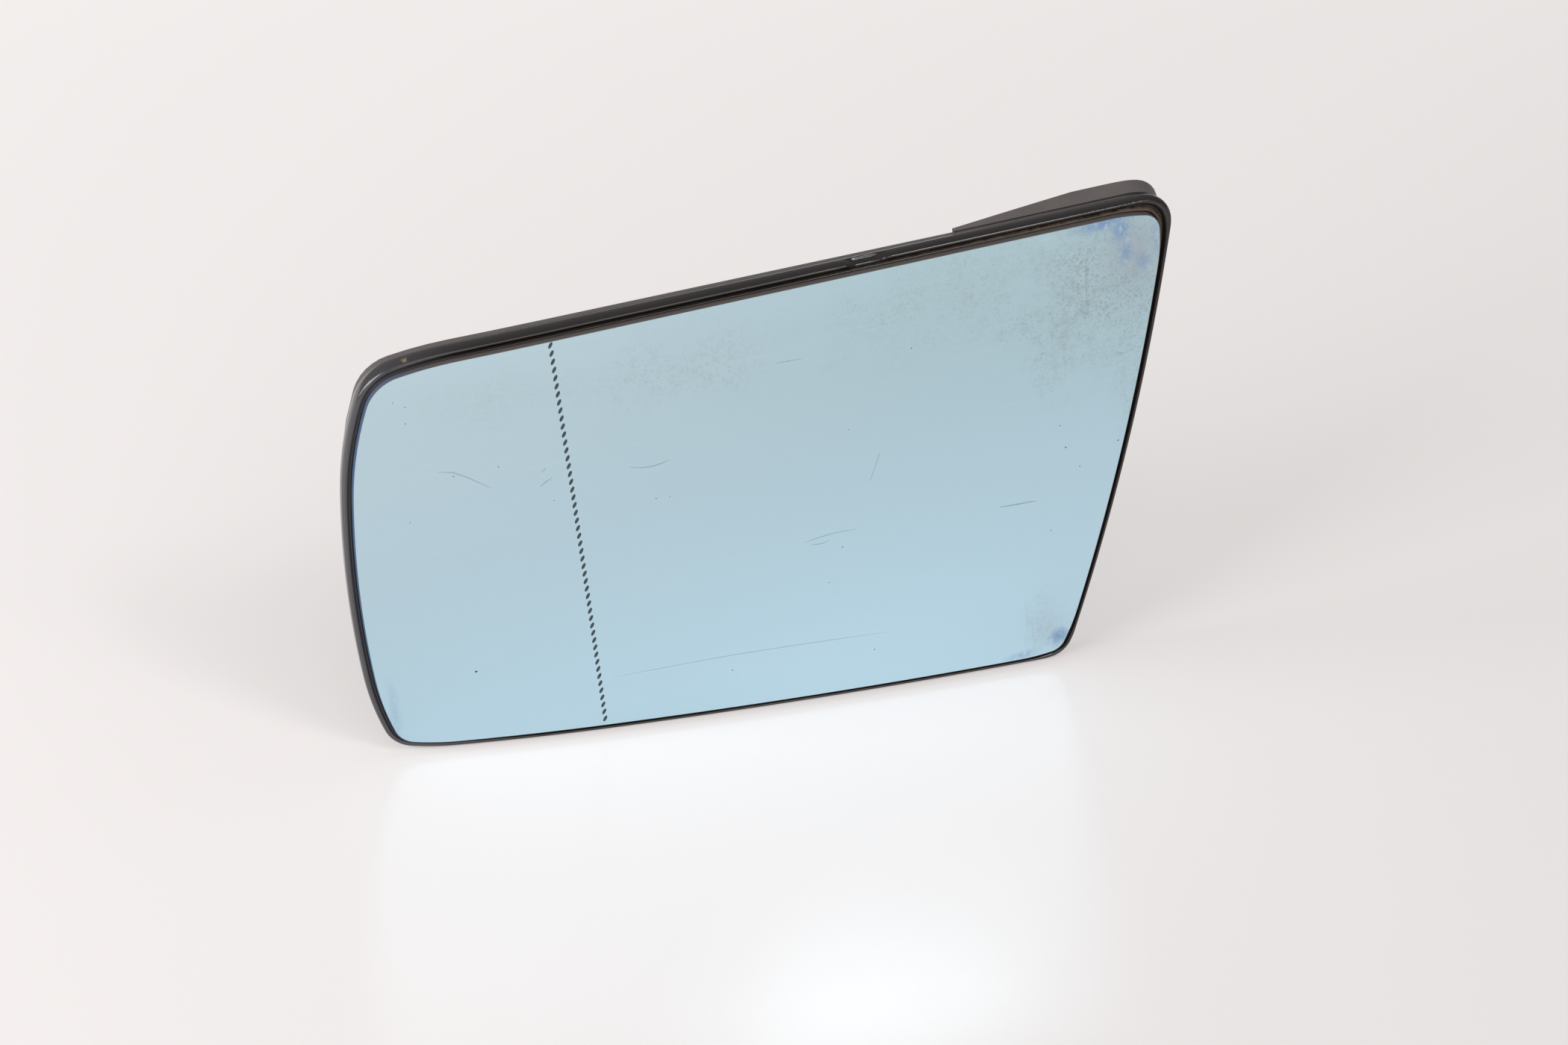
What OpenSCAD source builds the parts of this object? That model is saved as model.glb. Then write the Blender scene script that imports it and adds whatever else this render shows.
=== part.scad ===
// Door mirror glass with heater, for the left-hand side of a car.
// Frame: the glass faces -Y, +Z is up and +X points towards the car. The origin is on the axis of the
// round motor socket, in the plane of the socket's mouth. Depths t are measured from the front face of
// the glass towards the back, offsets d from the edge of the glass outwards.

/* [Glass outline] */
// Length of the upper edge, between its corner points
upper_w = 186.7; // [170:0.1:225]
// Length of the lower edge, between its corner points, measured level
lower_w = 161.1; // [146:0.1:194]
// Height of the outboard edge, between its corner points
outboard_h = 94.4; // [90:0.1:114]
// Height of the inboard edge, between its corner points
inboard_h = 110.5; // [104:0.1:133]
// How far the upper edge falls towards the car
upper_fall = 2.8; // [0:0.1:8]
// How far the lower outboard corner lies outboard of the upper one
outboard_lead = 6.7; // [0:0.1:12]
// Bulge of the upper edge
upper_bow = 1.8; // [0.5:0.1:6]
// Bulge of the inboard edge
inboard_bow = 2.2; // [0.5:0.1:6]
// Bulge of the lower edge
lower_bow = 0.25; // [0.2:0.05:4]
// Bulge of the outboard edge
outboard_bow = 4.6; // [1:0.1:12]
// Radius of the upper outboard corner, at its tightest
upper_outboard_r = 10.6; // [6:0.1:16]
// Radius of the upper inboard corner, at its tightest
upper_inboard_r = 4.5; // [3.5:0.1:8]
// Radius of the lower inboard corner, at its tightest
lower_inboard_r = 4.3; // [3.5:0.1:8]
// Radius of the lower outboard corner, at its tightest
lower_outboard_r = 5.5; // [4:0.1:9]

/* [Glass] */
// Radius of curvature of the main viewing zone
main_r = 1260; // [1200:10:1600]
// Radius of curvature of the outer, wide-angle zone
outer_r = 500; // [300:10:800]
// Distance from the socket axis to the line between the two zones
zone_line_x = 47; // [30:0.5:70]
// Height of the crown of the glass above the socket axis
crown_z = 6; // [-10:0.5:15]
// Thickness of the glass
glass_t = 2; // [1.6:0.1:2.4]

/* [Heater] */
// Thickness of the self-adhesive heater foil
pad_t = 0.7; // [0.6:0.05:1]
// Margin between the heater foil and the edge of the glass
pad_margin = 3; // [1.5:0.1:6]
// Glue line on either side of the foil
bond = 0.1; // [0.05:0.01:0.15]

/* [Carrier plate] */
// Thickness of the plate behind the heater
plate_t = 2; // [1.5:0.1:2.5]
// Thickness of the ribs
rib_w = 1.6; // [1:0.1:2.4]
// Height of the ribs above the back of the plate
rib_h = 2.2; // [1.5:0.1:3]
// Radius of the inner ring rib
inner_ring_r = 46; // [44:0.5:48]
// Radius of the outer ring rib
outer_ring_r = 76; // [74:0.5:82]
// Diameter of the vent holes
vent_d = 4; // [2:0.5:6]
// Depth of the side wall's back edge behind the front of the glass, at the inboard end
wall_depth = 8.1; // [7.8:0.1:10]
// How much deeper the side wall is at the outboard end
wall_growth = 1.2; // [0:0.1:2]
// Offset of the side wall's inner face, inside the glass edge
wall_inset = 0.9; // [0.7:0.1:2]

/* [Corner skirt] */
// Distance from the socket axis to the skirt's outboard end, on the upper edge
skirt_start_x = 48.6; // [40:0.1:70]
// Height of the skirt's lower end above the socket axis, on the inboard edge
skirt_end_z = 20; // [10:0.5:35]
// Distance the skirt reaches behind the socket's mouth
skirt_reach = 3.5; // [2:0.1:6]
// Angle by which the skirt flares towards the car
skirt_lean = 15; // [0:0.5:18]
// Thickness of the skirt
skirt_t = 1.6; // [1.4:0.1:2]

/* [Motor socket] */
// Inner radius of the socket
socket_r = 29; // [26:0.5:31]
// Thickness of the socket's wall
socket_wall = 3; // [2:0.1:3.5]
// Depth of the socket, from its mouth to its floor
socket_depth = 8; // [7:0.1:9]
// Distance from the crown of the glass to the socket's mouth
stand_off = 14; // [13:0.1:16]
// Width of the notch that keeps the mirror from turning on the motor
key_w = 5; // [3:0.1:6]

/* [Retaining wire] */
// Diameter of the spring wire
wire_d = 1.8; // [1.4:0.1:2.2]
// Clearance around the wire
wire_gap = 0.3; // [0.2:0.05:0.5]
// Distance of the wire's centre in front of the socket's mouth
wire_drop = 3.5; // [3:0.1:4.5]
// Length of the two tails that release it
tail_l = 14; // [8:0.5:20]

/* [Terminals] */
// Width of the flat plug tabs
tab_w = 6.3; // [4.8:0.1:6.3]
// Thickness of the tabs
tab_t = 0.8; // [0.5:0.1:0.8]
// Length of the tabs behind the heater foil
tab_l = 9.5; // [8:0.1:10]
// Distance from the socket axis to the rivets, towards the car
tab_x = 62; // [60:0.5:64]
// Distance of each rivet above and below the socket axis
tab_z = 6.6; // [6.2:0.1:7]
// Outside diameter of the tubular rivets
rivet_d = 3; // [2.5:0.1:3.4]
// Running clearance between the stacked pieces
stack_gap = 0.03; // [0.02:0.01:0.05]

/* [Rim] */
// Clearance between the rim and the edge of the glass
rim_gap = 0.1; // [0.05:0.05:0.2]
// Offset of the bead's outermost line
bead_d = 2.1; // [1.9:0.05:2.6]
// Depth of the rim's seat on the carrier, at the inboard end
seat_depth = 4.95; // [4.7:0.05:5.4]
// How much deeper the seat is at the outboard end
seat_growth = 0.6; // [0:0.1:1.2]

/* [Hidden] */

// Depths of the layers behind the front of the glass
pad_front = glass_t + bond;
pad_back = pad_front + pad_t;
plate_front = pad_back + bond;
plate_back = plate_front + plate_t;
plate_middle = (plate_front + plate_back) / 2;
rib_depth = plate_back + rib_h;

// Corner points, upper outboard first and then round by the upper edge, as [x, z]
upper_outboard = [-88.8, 55.3];
upper_inboard = upper_outboard + [upper_w, -upper_fall];
lower_outboard = upper_outboard + [-outboard_lead, -outboard_h];
lower_inboard = [lower_outboard[0] + lower_w, upper_inboard[1] - inboard_h];
corners = [upper_outboard, upper_inboard, lower_inboard, lower_outboard];
bows = [upper_bow, inboard_bow, lower_bow, outboard_bow];
corner_radii = [upper_outboard_r, upper_inboard_r, lower_inboard_r, lower_outboard_r];
// Each corner opens into a gentler curve at both ends, for eased_share of its turn, with a radius that
// is larger by corner_ease. Outside the glass edge the inboard corners lose ease_loss of that for each
// millimetre of offset, and the upper one reaches further out by corner_reach
eased_share = 0.12;
corner_ease = [72, 36, 48, 58];
ease_loss = [0, 17, 20, 0];
corner_reach = [0.3, 0.15];
eased_steps = 3;
corner_steps = 6;
edge_steps = [16, 14, 8, 14];

// Optical surface: a sphere of main_r that turns into a torus of outer_r at the zone line
zone_turn = asin(zone_line_x / main_r);
centre_y = main_r - stand_off;
half_length = max(upper_w, lower_w) * 0.95;
half_wedge = asin((max(inboard_h, outboard_h) * 0.62 + 15) / main_r);
huge = 400;
fine = 1440;

// Side wall and skirt. Along the upper edge the skirt's back edge is a ramp, a knee and then level
wall_d = bead_d - 0.44;
wall_front = plate_front + 0.4;
skirt_d = 1.5;
skirt_front = 7;
skirt_knee_x = upper_inboard[0] - 18.4;
skirt_full_x = skirt_knee_x + 10;
skirt_knee_y = skirt_reach - 0.7;
skirt_step = 0.5;
skirt_taper = 20;
gusset_t = 1.4;
gusset_w = 9;
growth_span = 135;

// Ribs and vents
rib_count = 12;
first_rib = 15;
rib_pitch = 360 / rib_count;
vent_places = [[-60, 30], [-60, -28], [38, 38], [38, -42]];

// Socket and wire
socket_outer_r = socket_r + socket_wall;
wire_r = wire_d / 2;
wire_y = -wire_drop;
wire_ring_r = socket_outer_r + wire_gap + wire_r;
wire_flat_x = socket_r + wire_gap + wire_r;
wire_flat_half = 5.2;
window_half = 9;
kink_angle = 13.6;
tail_angle = 82;
tail_start = 75.5;
tail_bend_r = 3;
kink_bend_r = 1.2;
hook_end = 5;
key_depth = 6;
ledge_y = wire_y - wire_r - wire_gap - 0.1;
ledge_w = 1.2;
hook_angles = [60, 120, 240, 300];
hook_w = 7;
hook_inner_r = wire_ring_r + wire_r + wire_gap;

// Terminals
terminal_places = [[tab_x, tab_z], [tab_x, -tab_z]];
window_size = [12, 8.4];
collar_w = 1.5;
collar_y = -5;
flange_d = rivet_d * 2;
flange_t = 0.3;
roll_d = rivet_d * 1.5;
roll_t = 0.35;
foot_half = 3.6;
bend_r = 0.6;
tip_bevel = 1.2;
latch_d = 1.7;
latch_back = 3.2;
foot_front = pad_back + stack_gap;
foot_back = foot_front + tab_t;

function unit(v) = v / norm(v);
function angle_of(v) = atan2(v[1], v[0]);
function on_circle(centre, r, angle) = centre + r * [cos(angle), sin(angle)];

// An edge is an arc through two corner points a and b with a bulge s
function bow_radius(a, b, s) = let(c = norm(b - a) / 2) (c * c + s * s) / (2 * s);
function bow_centre(a, b, s) =
    let(along = unit(b - a), outward = [-along[1], along[0]])
    (a + b) / 2 - outward * (bow_radius(a, b, s) - s);

// Corner points and edges at an offset d
function corner_at(i, d) = corners[i % 4] + (i % 4 == 1 ? corner_reach * max(d, 0) : [0, 0]);
function edge_centre(i, d) = bow_centre(corner_at(i, d), corner_at(i + 1, d), bows[i % 4]);
function edge_radius(i, d) = bow_radius(corner_at(i, d), corner_at(i + 1, d), bows[i % 4]) + d;

// Corner i at an offset d, made of three arcs that touch each other and both edges from inside, as
// [tight centre, first gentle centre, last gentle centre, tight radius, gentle radius, start and
// end angle of the tight arc]
function corner_arcs(i, d) =
    let(before = (i + 3) % 4,
        r = corner_radii[i] + d,
        ease = max(corner_ease[i] - ease_loss[i] * max(d, 0), 0),
        first = angle_of(corner_at(i, d) - edge_centre(before, d)),
        turn = (first - angle_of(corner_at(i, d) - edge_centre(i, d)) + 720) % 360,
        from = first - eased_share * turn,
        to = first - (1 - eased_share) * turn,
        c1 = on_circle(edge_centre(before, d), ease, from),
        c2 = on_circle(edge_centre(i, d), ease, to),
        r1 = edge_radius(before, d) - r - ease,
        r2 = edge_radius(i, d) - r - ease,
        span = norm(c2 - c1),
        across = (c2 - c1) / span,
        a = (r1 * r1 - r2 * r2 + span * span) / (2 * span),
        h = sqrt(r1 * r1 - a * a),
        foot = c1 + across * a,
        side = [-across[1], across[0]] * h,
        centre = norm(foot + side - corners[i]) < norm(foot - side - corners[i])
            ? foot + side : foot - side)
    [centre, on_circle(centre, -ease, from), on_circle(centre, -ease, to), r, r + ease, from, to];

// Points of an arc that turns clockwise between two angles, without its last point
function clockwise(centre, r, from, to, steps) =
    [for (k = [0:steps - 1]) on_circle(centre, r, from - ((from - to + 720) % 360) * k / steps)];

// Points of the outline at an offset d, clockwise as seen on the glass
function outline(d) =
    let(arcs = [for (i = [0:3]) corner_arcs(i, d)])
    [for (i = [0:3])
        let(c = arcs[i],
            edge = edge_centre(i, d),
            start = angle_of(c[1] - edge_centre((i + 3) % 4, d)),
            end = angle_of(c[2] - edge))
        each concat(
            clockwise(c[1], c[4], start, c[5], eased_steps),
            clockwise(c[0], c[3], c[5], c[6], corner_steps),
            clockwise(c[2], c[4], c[6], end, eased_steps),
            clockwise(edge, edge_radius(i, d), end, angle_of(arcs[(i + 1) % 4][1] - edge),
                      edge_steps[i]))];

// Position y of the optical surface at depth t above the point (x, z)
function profile_r(h, t) =
    h >= 0 ? sqrt(pow(main_r - t, 2) - h * h) : main_r - outer_r + sqrt(pow(outer_r - t, 2) - h * h);
function along_axis(x, z, t, rounds) =
    let(r = rounds == 0 ? main_r - t : profile_r(along_axis(x, z, t, rounds - 1), t))
    (x + sqrt(r * r - z * z) * sin(zone_turn)) / cos(zone_turn);
function face_y(x, z, t) =
    let(level = z - crown_z,
        h = along_axis(x, level, t, 3),
        r = profile_r(h, t))
    centre_y - h * sin(zone_turn) - sqrt(r * r - level * level) * cos(zone_turn);

// How far outboard a place is, from 0 at the skirt to 1 at the outboard end
function outboard(x) = min(max((skirt_start_x - x) / growth_span, 0), 1);

// Rings of a section that runs along the outline, its points as [offset, depth, extra depth outboard]
function swept(section) =
    let(lines = [for (s = section) outline(s[0])])
    [for (k = [0:len(lines[0]) - 1])
        [for (j = [0:len(section) - 1])
            let(p = lines[j][k])
            [p[0], face_y(p[0], p[1], section[j][1] + section[j][2] * outboard(p[0])), p[1]]]];

// Solid through a list of rings with the same number of points; closed joins the last to the first
module skin(rings, closed) {
    n = len(rings[0]);
    m = len(rings);
    spans = closed ? m : m - 1;
    sides = [for (i = [0:spans - 1], j = [0:n - 1])
        let(a = i * n + j,
            b = i * n + (j + 1) % n,
            c = ((i + 1) % m) * n + (j + 1) % n,
            d = ((i + 1) % m) * n + j)
        each [[a, b, c], [a, c, d]]];
    ends = closed ? [] : [[for (j = [n - 1:-1:0]) j], [for (j = [0:n - 1]) (m - 1) * n + j]];
    polyhedron(points = [for (ring = rings) each ring], faces = concat(sides, ends), convexity = 10);
}

// Extrudes a drawing in x and z from y0 to y1
module along_y(y0, y1) {
    translate([0, y1, 0])
        rotate([90, 0, 0])
            linear_extrude(height = y1 - y0)
                children();
}

// Layer between the depths t0 and t1 behind the front of the glass, wider than the outline
module layer(t0, t1) {
    translate([0, centre_y, crown_z])
        rotate([0, 0, -zone_turn])
            rotate([-90, 0, 0])
                rotate([0, 90, 0])
                    rotate([0, 0, -half_wedge])
                        rotate_extrude(angle = 2 * half_wedge, $fn = fine) {
                            layer_section(0, main_r, t0, t1, 0);
                            layer_section(main_r - outer_r, outer_r, t0, t1, -half_length);
                        }
}

module layer_section(centre, r, t0, t1, start) {
    intersection() {
        translate([centre, 0])
            difference() {
                circle(r = r - t0, $fn = fine);
                circle(r = r - t1, $fn = fine);
            }
        translate([main_r * 0.9, start])
            square([main_r * 0.2, half_length]);
    }
}

// Sheet between two depths, with the outline at offset d
module sheet(t0, t1, d) {
    intersection() {
        layer(t0, t1);
        along_y(-stand_off - 1, 30) polygon(outline(d));
    }
}

// Moves something drawn about the y axis to a place on the glass, square to the surface
module on_surface(place) {
    translate([place[0], face_y(place[0], place[1], 0), place[1]])
        rotate([-asin((place[1] - crown_z) / main_r), 0, asin(place[0] / main_r)])
            children();
}

// Round post on the y axis between the depths t0 and t1
module post(d, t0, t1) {
    translate([0, t0, 0])
        rotate([-90, 0, 0])
            cylinder(d = d, h = t1 - t0, $fn = 48);
}

// Round solid on the socket's axis between two places on y
module turned(r, y0, y1) {
    translate([0, y0, 0])
        rotate([-90, 0, 0])
            cylinder(r = r, h = y1 - y0, $fn = 180);
}

// Middle of the plate's thickness at a radius r round the crown
function plate_middle_y(r) = -stand_off + plate_middle + r * r / (2 * main_r);

// Upright web: a drawing in radius and y, w thick, turned to an angle round the socket
module web(angle, w) {
    rotate([0, -angle, 0])
        translate([0, 0, -w / 2])
            linear_extrude(height = w)
                children();
}

module mirror_glass() {
    color([0.62, 0.78, 0.84])
        sheet(0, glass_t, 0);
}

module heater_pad() {
    color([0.45, 0.46, 0.48])
        difference() {
            sheet(pad_front, pad_back, -pad_margin);
            for (place = terminal_places)
                on_surface(place) {
                    post(rivet_d + 2 * stack_gap, 0, pad_back + 2);
                    post(flange_d + 0.2, 0, pad_front + flange_t + 2 * stack_gap);
                }
        }
}

module carrier_plate() {
    color([0.25, 0.24, 0.23])
        union() {
            base_plate();
            side_wall();
            corner_skirt();
            skirt_gussets();
            ribs();
            motor_socket();
            for (angle = hook_angles)
                wire_hook(angle);
            terminal_collar();
        }
}

// Curved plate with its vents, terminal windows and the slots in front of the wire hooks
module base_plate() {
    slot_from = socket_outer_r - 0.5;
    slot_to = hook_inner_r + 0.2;
    difference() {
        sheet(plate_front, plate_back, -0.4);
        for (place = vent_places)
            on_surface(place) post(vent_d, 0, plate_back + 3);
        for (place = terminal_places)
            along_y(-stand_off, 0)
                translate(place - window_size / 2) square(window_size);
        for (angle = hook_angles)
            web(angle, hook_w + 0.4)
                translate([slot_from, -stand_off]) square([slot_to - slot_from, stand_off - 5]);
    }
}

// Side wall round the plate. Its front carries the rim, its outer face is drawn in towards the back
module side_wall() {
    seat = seat_depth + 0.05;
    skin(swept([[wall_d, seat, seat_growth], [0.8, wall_depth, wall_growth],
                [-wall_inset, wall_depth, wall_growth], [-wall_inset, wall_front, 0],
                [-0.05, wall_front, 0], [-0.05, seat, seat_growth]]), true);
}

// Position y of the skirt's back edge above a place on the upper edge, ahead of the knee
function skirt_y(x) =
    let(start = face_y(skirt_start_x, upper_inboard[1], wall_depth + skirt_step))
    min(skirt_knee_y,
        start + (skirt_knee_y - start) * (x - skirt_start_x) / (skirt_knee_x - skirt_start_x));

// Deeper wall that closes the gap to the mirror housing round the upper inboard corner. It flares
// about an upright line in the wall
module corner_skirt() {
    top = upper_inboard[1] + 10;
    side = upper_inboard[0] + 10;
    long = side - skirt_start_x;
    past = skirt_reach + 5;
    pivot = [upper_inboard[0], face_y(upper_inboard[0], upper_inboard[1], skirt_front - 1), 0];
    difference() {
        intersection() {
            layer(skirt_front, 40);
            translate(pivot)
                rotate([0, 0, -skirt_lean])
                    translate(-pivot)
                        along_y(-long, long)
                            difference() {
                                polygon(outline(skirt_d));
                                polygon(outline(skirt_d - skirt_t));
                            }
            along_y(-stand_off, skirt_reach)
                polygon([[skirt_start_x, top], [side, top], [side, skirt_end_z],
                         [skirt_start_x, skirt_end_z]]);
        }
        linear_extrude(height = top)
            polygon([[skirt_start_x - 5, skirt_y(skirt_start_x)],
                     [skirt_start_x, skirt_y(skirt_start_x)], [skirt_knee_x, skirt_y(skirt_knee_x)],
                     [skirt_full_x, skirt_reach], [side, skirt_reach], [side, past],
                     [skirt_start_x - 5, past]]);
        translate([side, 0, 0])
            rotate([0, -90, 0])
                linear_extrude(height = 30)
                    polygon([[skirt_end_z - 1, 0], [skirt_end_z, 0],
                             [skirt_end_z + skirt_taper, skirt_reach],
                             [skirt_end_z + skirt_taper, past], [skirt_end_z - 1, past]]);
    }
}

// Triangular webs that stiffen the skirt along the upper edge, clear of the rim's seat
module skirt_gussets() {
    intersection() {
        along_y(-stand_off, skirt_reach) polygon(outline(0.3));
        for (x = [skirt_knee_x - 18, skirt_knee_x - 6, skirt_knee_x + 6])
            translate([x, 0, upper_outboard[1] - upper_fall * (x - upper_outboard[0]) / upper_w])
                rotate([0, -90, 0])
                    linear_extrude(height = gusset_t, center = true)
                        gusset_section(face_y(x, upper_inboard[1], plate_middle),
                                       face_y(x, upper_inboard[1], seat_depth + 1), skirt_y(x) - 1);
    }
}

// Web drawn in height above the corner points and y: on the plate, past the rim's seat, up the skirt
module gusset_section(foot_y, seat_y, tip_y) {
    polygon([[-gusset_w, foot_y], [-0.5, foot_y], [-0.5, seat_y], [4, seat_y], [4, tip_y],
             [-skirt_t, tip_y]]);
}

// Radial ribs and two rings, as deep everywhere below the surface
module ribs() {
    intersection() {
        layer(plate_middle, rib_depth);
        along_y(-stand_off, 10)
            intersection() {
                union() {
                    for (k = [0:rib_count - 1])
                        rotate(first_rib + k * rib_pitch)
                            translate([socket_r + 1, -rib_w / 2]) square([huge, rib_w]);
                    for (r = [inner_ring_r, outer_ring_r])
                        difference() {
                            circle(r = r + rib_w / 2, $fn = 180);
                            circle(r = r - rib_w / 2, $fn = 180);
                        }
                }
                polygon(outline(-wall_inset + 0.25));
            }
    }
}

// Round socket that the adjusting motor's disc snaps into, with a flat floor
module motor_socket() {
    root_y = -stand_off + plate_middle;
    difference() {
        turned(socket_outer_r, root_y, 0);
        turned(socket_r, -socket_depth, 1);
        along_y(wire_y - wire_r - wire_gap, wire_y + wire_r + wire_gap)
            for (side = [-1, 1])
                translate([side * (socket_r + socket_wall / 2) - socket_wall, -window_half])
                    square([2 * socket_wall, 2 * window_half]);
        along_y(-key_depth, 1)
            translate([-key_w / 2, socket_r - 2]) square([key_w, socket_wall + 4]);
    }
    for (k = [0:rib_count - 1])
        web(first_rib + k * rib_pitch, ledge_w)
            ledge_section();
}

// Buttress of the socket wall, with the ledge that the wire lies on
module ledge_section() {
    foot_r = inner_ring_r - 2;
    polygon([[socket_r + 2, plate_middle_y(socket_r + 2)], [socket_r + 2, ledge_y],
             [hook_inner_r + 1, ledge_y], [foot_r, plate_middle_y(foot_r) + rib_h + 0.6],
             [foot_r, plate_middle_y(foot_r)]]);
}

// Hook that keeps the wire in its plane, drawn in radius and y
module wire_hook(angle) {
    lip_y = wire_y + wire_r + wire_gap;
    web(angle, hook_w)
        polygon([[hook_inner_r, plate_middle_y(hook_inner_r)], [hook_inner_r, lip_y],
                 [wire_ring_r - 0.2, lip_y], [wire_ring_r - 0.2, lip_y + 0.4],
                 [hook_inner_r, lip_y + 1.4], [hook_inner_r + 1.6, lip_y + 1.4],
                 [hook_inner_r + 2.6, plate_middle_y(hook_inner_r)]]);
}

// Upright frame round the two terminal windows
module terminal_collar() {
    inner = [window_size[0] + 0.2, 2 * tab_z + window_size[1] + 0.6];
    outer = inner + 2 * [collar_w, collar_w];
    along_y(face_y(tab_x, 0, plate_middle), collar_y)
        translate([tab_x, 0])
            difference() {
                square(outer, center = true);
                square(inner, center = true);
            }
}

// Moulded strip round the glass: an inner lip, a groove and a rounded bead
module rim() {
    seat_d = bead_d - 0.4;
    color([0.09, 0.09, 0.1])
        skin(swept([[rim_gap, 0.35, 0], [0.25, 0.2, 0], [0.8, 0.22, 0], [1.02, 0.45, 0],
                    [1.12, 1.1, 0], [1.2, 1.9, 0], [bead_d - 0.72, 1.9, 0], [bead_d - 0.62, 1.6, 0],
                    [bead_d - 0.35, 1.3, 0], [bead_d - 0.12, 1.5, 0], [bead_d, 2, 0],
                    [bead_d, 3.2, 0.2], [bead_d - 0.15, 4, 0.4], [seat_d + 0.05, 4.55, seat_growth],
                    [seat_d, seat_depth, seat_growth], [rim_gap, seat_depth, seat_growth]]), true);
}

// Arc of radius r that rounds the corner b of a path a, b, c
function rounded(a, b, c, r, steps) =
    let(u = unit(a - b),
        v = unit(c - b),
        half = acos(u * v) / 2,
        centre = b + unit(u + v) * r / sin(half),
        from = angle_of(b + u * r / tan(half) - centre),
        turn = (angle_of(b + v * r / tan(half) - centre) - from + 540) % 360 - 180)
    [for (k = [0:steps]) on_circle(centre, r, from + turn * k / steps)];

// Inboard half of the wire, from the top of the socket to the end of the tail
function wire_half() =
    let(upper = [for (k = [0:10]) on_circle([0, 0], wire_ring_r, 90 - (90 - kink_angle) * k / 10)],
        lower = [for (k = [0:8])
            on_circle([0, 0], wire_ring_r, -kink_angle - (tail_start - kink_angle) * k / 8)],
        root = on_circle([0, 0], wire_ring_r, -tail_angle),
        tail = root - [0, tail_l],
        in_upper = [wire_flat_x, wire_flat_half],
        in_lower = [wire_flat_x, -wire_flat_half])
    concat(
        [for (k = [0:9]) upper[k]],
        rounded(upper[9], upper[10], in_upper, kink_bend_r, 3),
        rounded(upper[10], in_upper, in_lower, kink_bend_r, 3),
        rounded(in_upper, in_lower, lower[0], kink_bend_r, 3),
        rounded(in_lower, lower[0], lower[1], kink_bend_r, 3),
        [for (k = [1:8]) lower[k]],
        rounded(lower[8], root, tail, tail_bend_r, 5),
        rounded(root, tail, tail + [hook_end, 0], tail_bend_r / 2, 5),
        [tail + [hook_end, 0]]);

module retaining_wire() {
    half = wire_half();
    last = len(half) - 1;
    path = concat([for (k = [last:-1:1]) [-half[k][0], half[k][1]]], half);
    rings = [for (i = [0:len(path) - 1])
        let(along = unit(path[min(i + 1, len(path) - 1)] - path[max(i - 1, 0)]))
        [for (a = [0:30:330])
            let(across = wire_r * cos(a))
            [path[i][0] - along[1] * across, wire_y + wire_r * sin(a), path[i][1] + along[0] * across]]];
    color([0.7, 0.7, 0.68])
        skin(rings, false);
}

module terminal_upper() {
    terminal(terminal_places[0]);
}

module terminal_lower() {
    terminal(terminal_places[1]);
}

// Flat plug tab bent up from a riveted foot
module terminal(place) {
    tip = foot_front + tab_l;
    bend = bend_r + tab_t;
    color([0.75, 0.68, 0.45])
        on_surface(place)
            difference() {
                intersection() {
                    translate([0, 0, -tab_w / 2])
                        linear_extrude(height = tab_w) {
                            translate([bend - foot_half, foot_front])
                                square([2 * foot_half - bend, tab_t]);
                            translate([-foot_half, foot_front + bend])
                                square([tab_t, tab_l - bend]);
                            translate([bend - foot_half, foot_front + bend])
                                intersection() {
                                    difference() {
                                        circle(r = bend, $fn = 60);
                                        circle(r = bend_r, $fn = 60);
                                    }
                                    translate([-bend, -bend]) square(bend);
                                }
                        }
                    rotate([0, -90, 0])
                        linear_extrude(height = 20, center = true)
                            polygon([[-tab_w / 2, 0], [tab_w / 2, 0],
                                     [tab_w / 2, tip - tip_bevel], [tab_w / 4, tip],
                                     [-tab_w / 4, tip], [-tab_w / 2, tip - tip_bevel]]);
                }
                post(rivet_d + 2 * stack_gap, 0, foot_back + 1);
                translate([-foot_half - 1, tip - latch_back, 0])
                    rotate([0, 90, 0])
                        cylinder(d = latch_d, h = tab_t + 2, $fn = 36);
            }
}

// Tubular rivets that hold the terminals on the foil, their flanges sunk into its glued side
module terminal_rivets() {
    front = pad_front + stack_gap;
    back = foot_back + stack_gap;
    bore_r = rivet_d / 2 - 0.5;
    color([0.72, 0.7, 0.62])
        for (place = terminal_places)
            on_surface(place)
                rotate([-90, 0, 0])
                    rotate_extrude($fn = 60) {
                        translate([bore_r, front]) square([flange_d / 2 - bore_r, flange_t]);
                        translate([bore_r, front]) square([rivet_d / 2 - bore_r, back + roll_t - front]);
                        translate([bore_r, back]) square([roll_d / 2 - roll_t / 2 - bore_r, roll_t]);
                        translate([roll_d / 2 - roll_t / 2, back + roll_t / 2])
                            circle(d = roll_t, $fn = 30);
                    }
}

mirror_glass();
heater_pad();
carrier_plate();
rim();
retaining_wire();
terminal_upper();
terminal_lower();
terminal_rivets();
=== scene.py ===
# Door mirror glass, left-hand side: its looks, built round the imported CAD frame.
# Metres in the CAD frame: the glass faces -Y, +Z is up and +X points towards the car.
import math
import bpy
import numpy as np
from mathutils import Matrix, Vector


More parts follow.
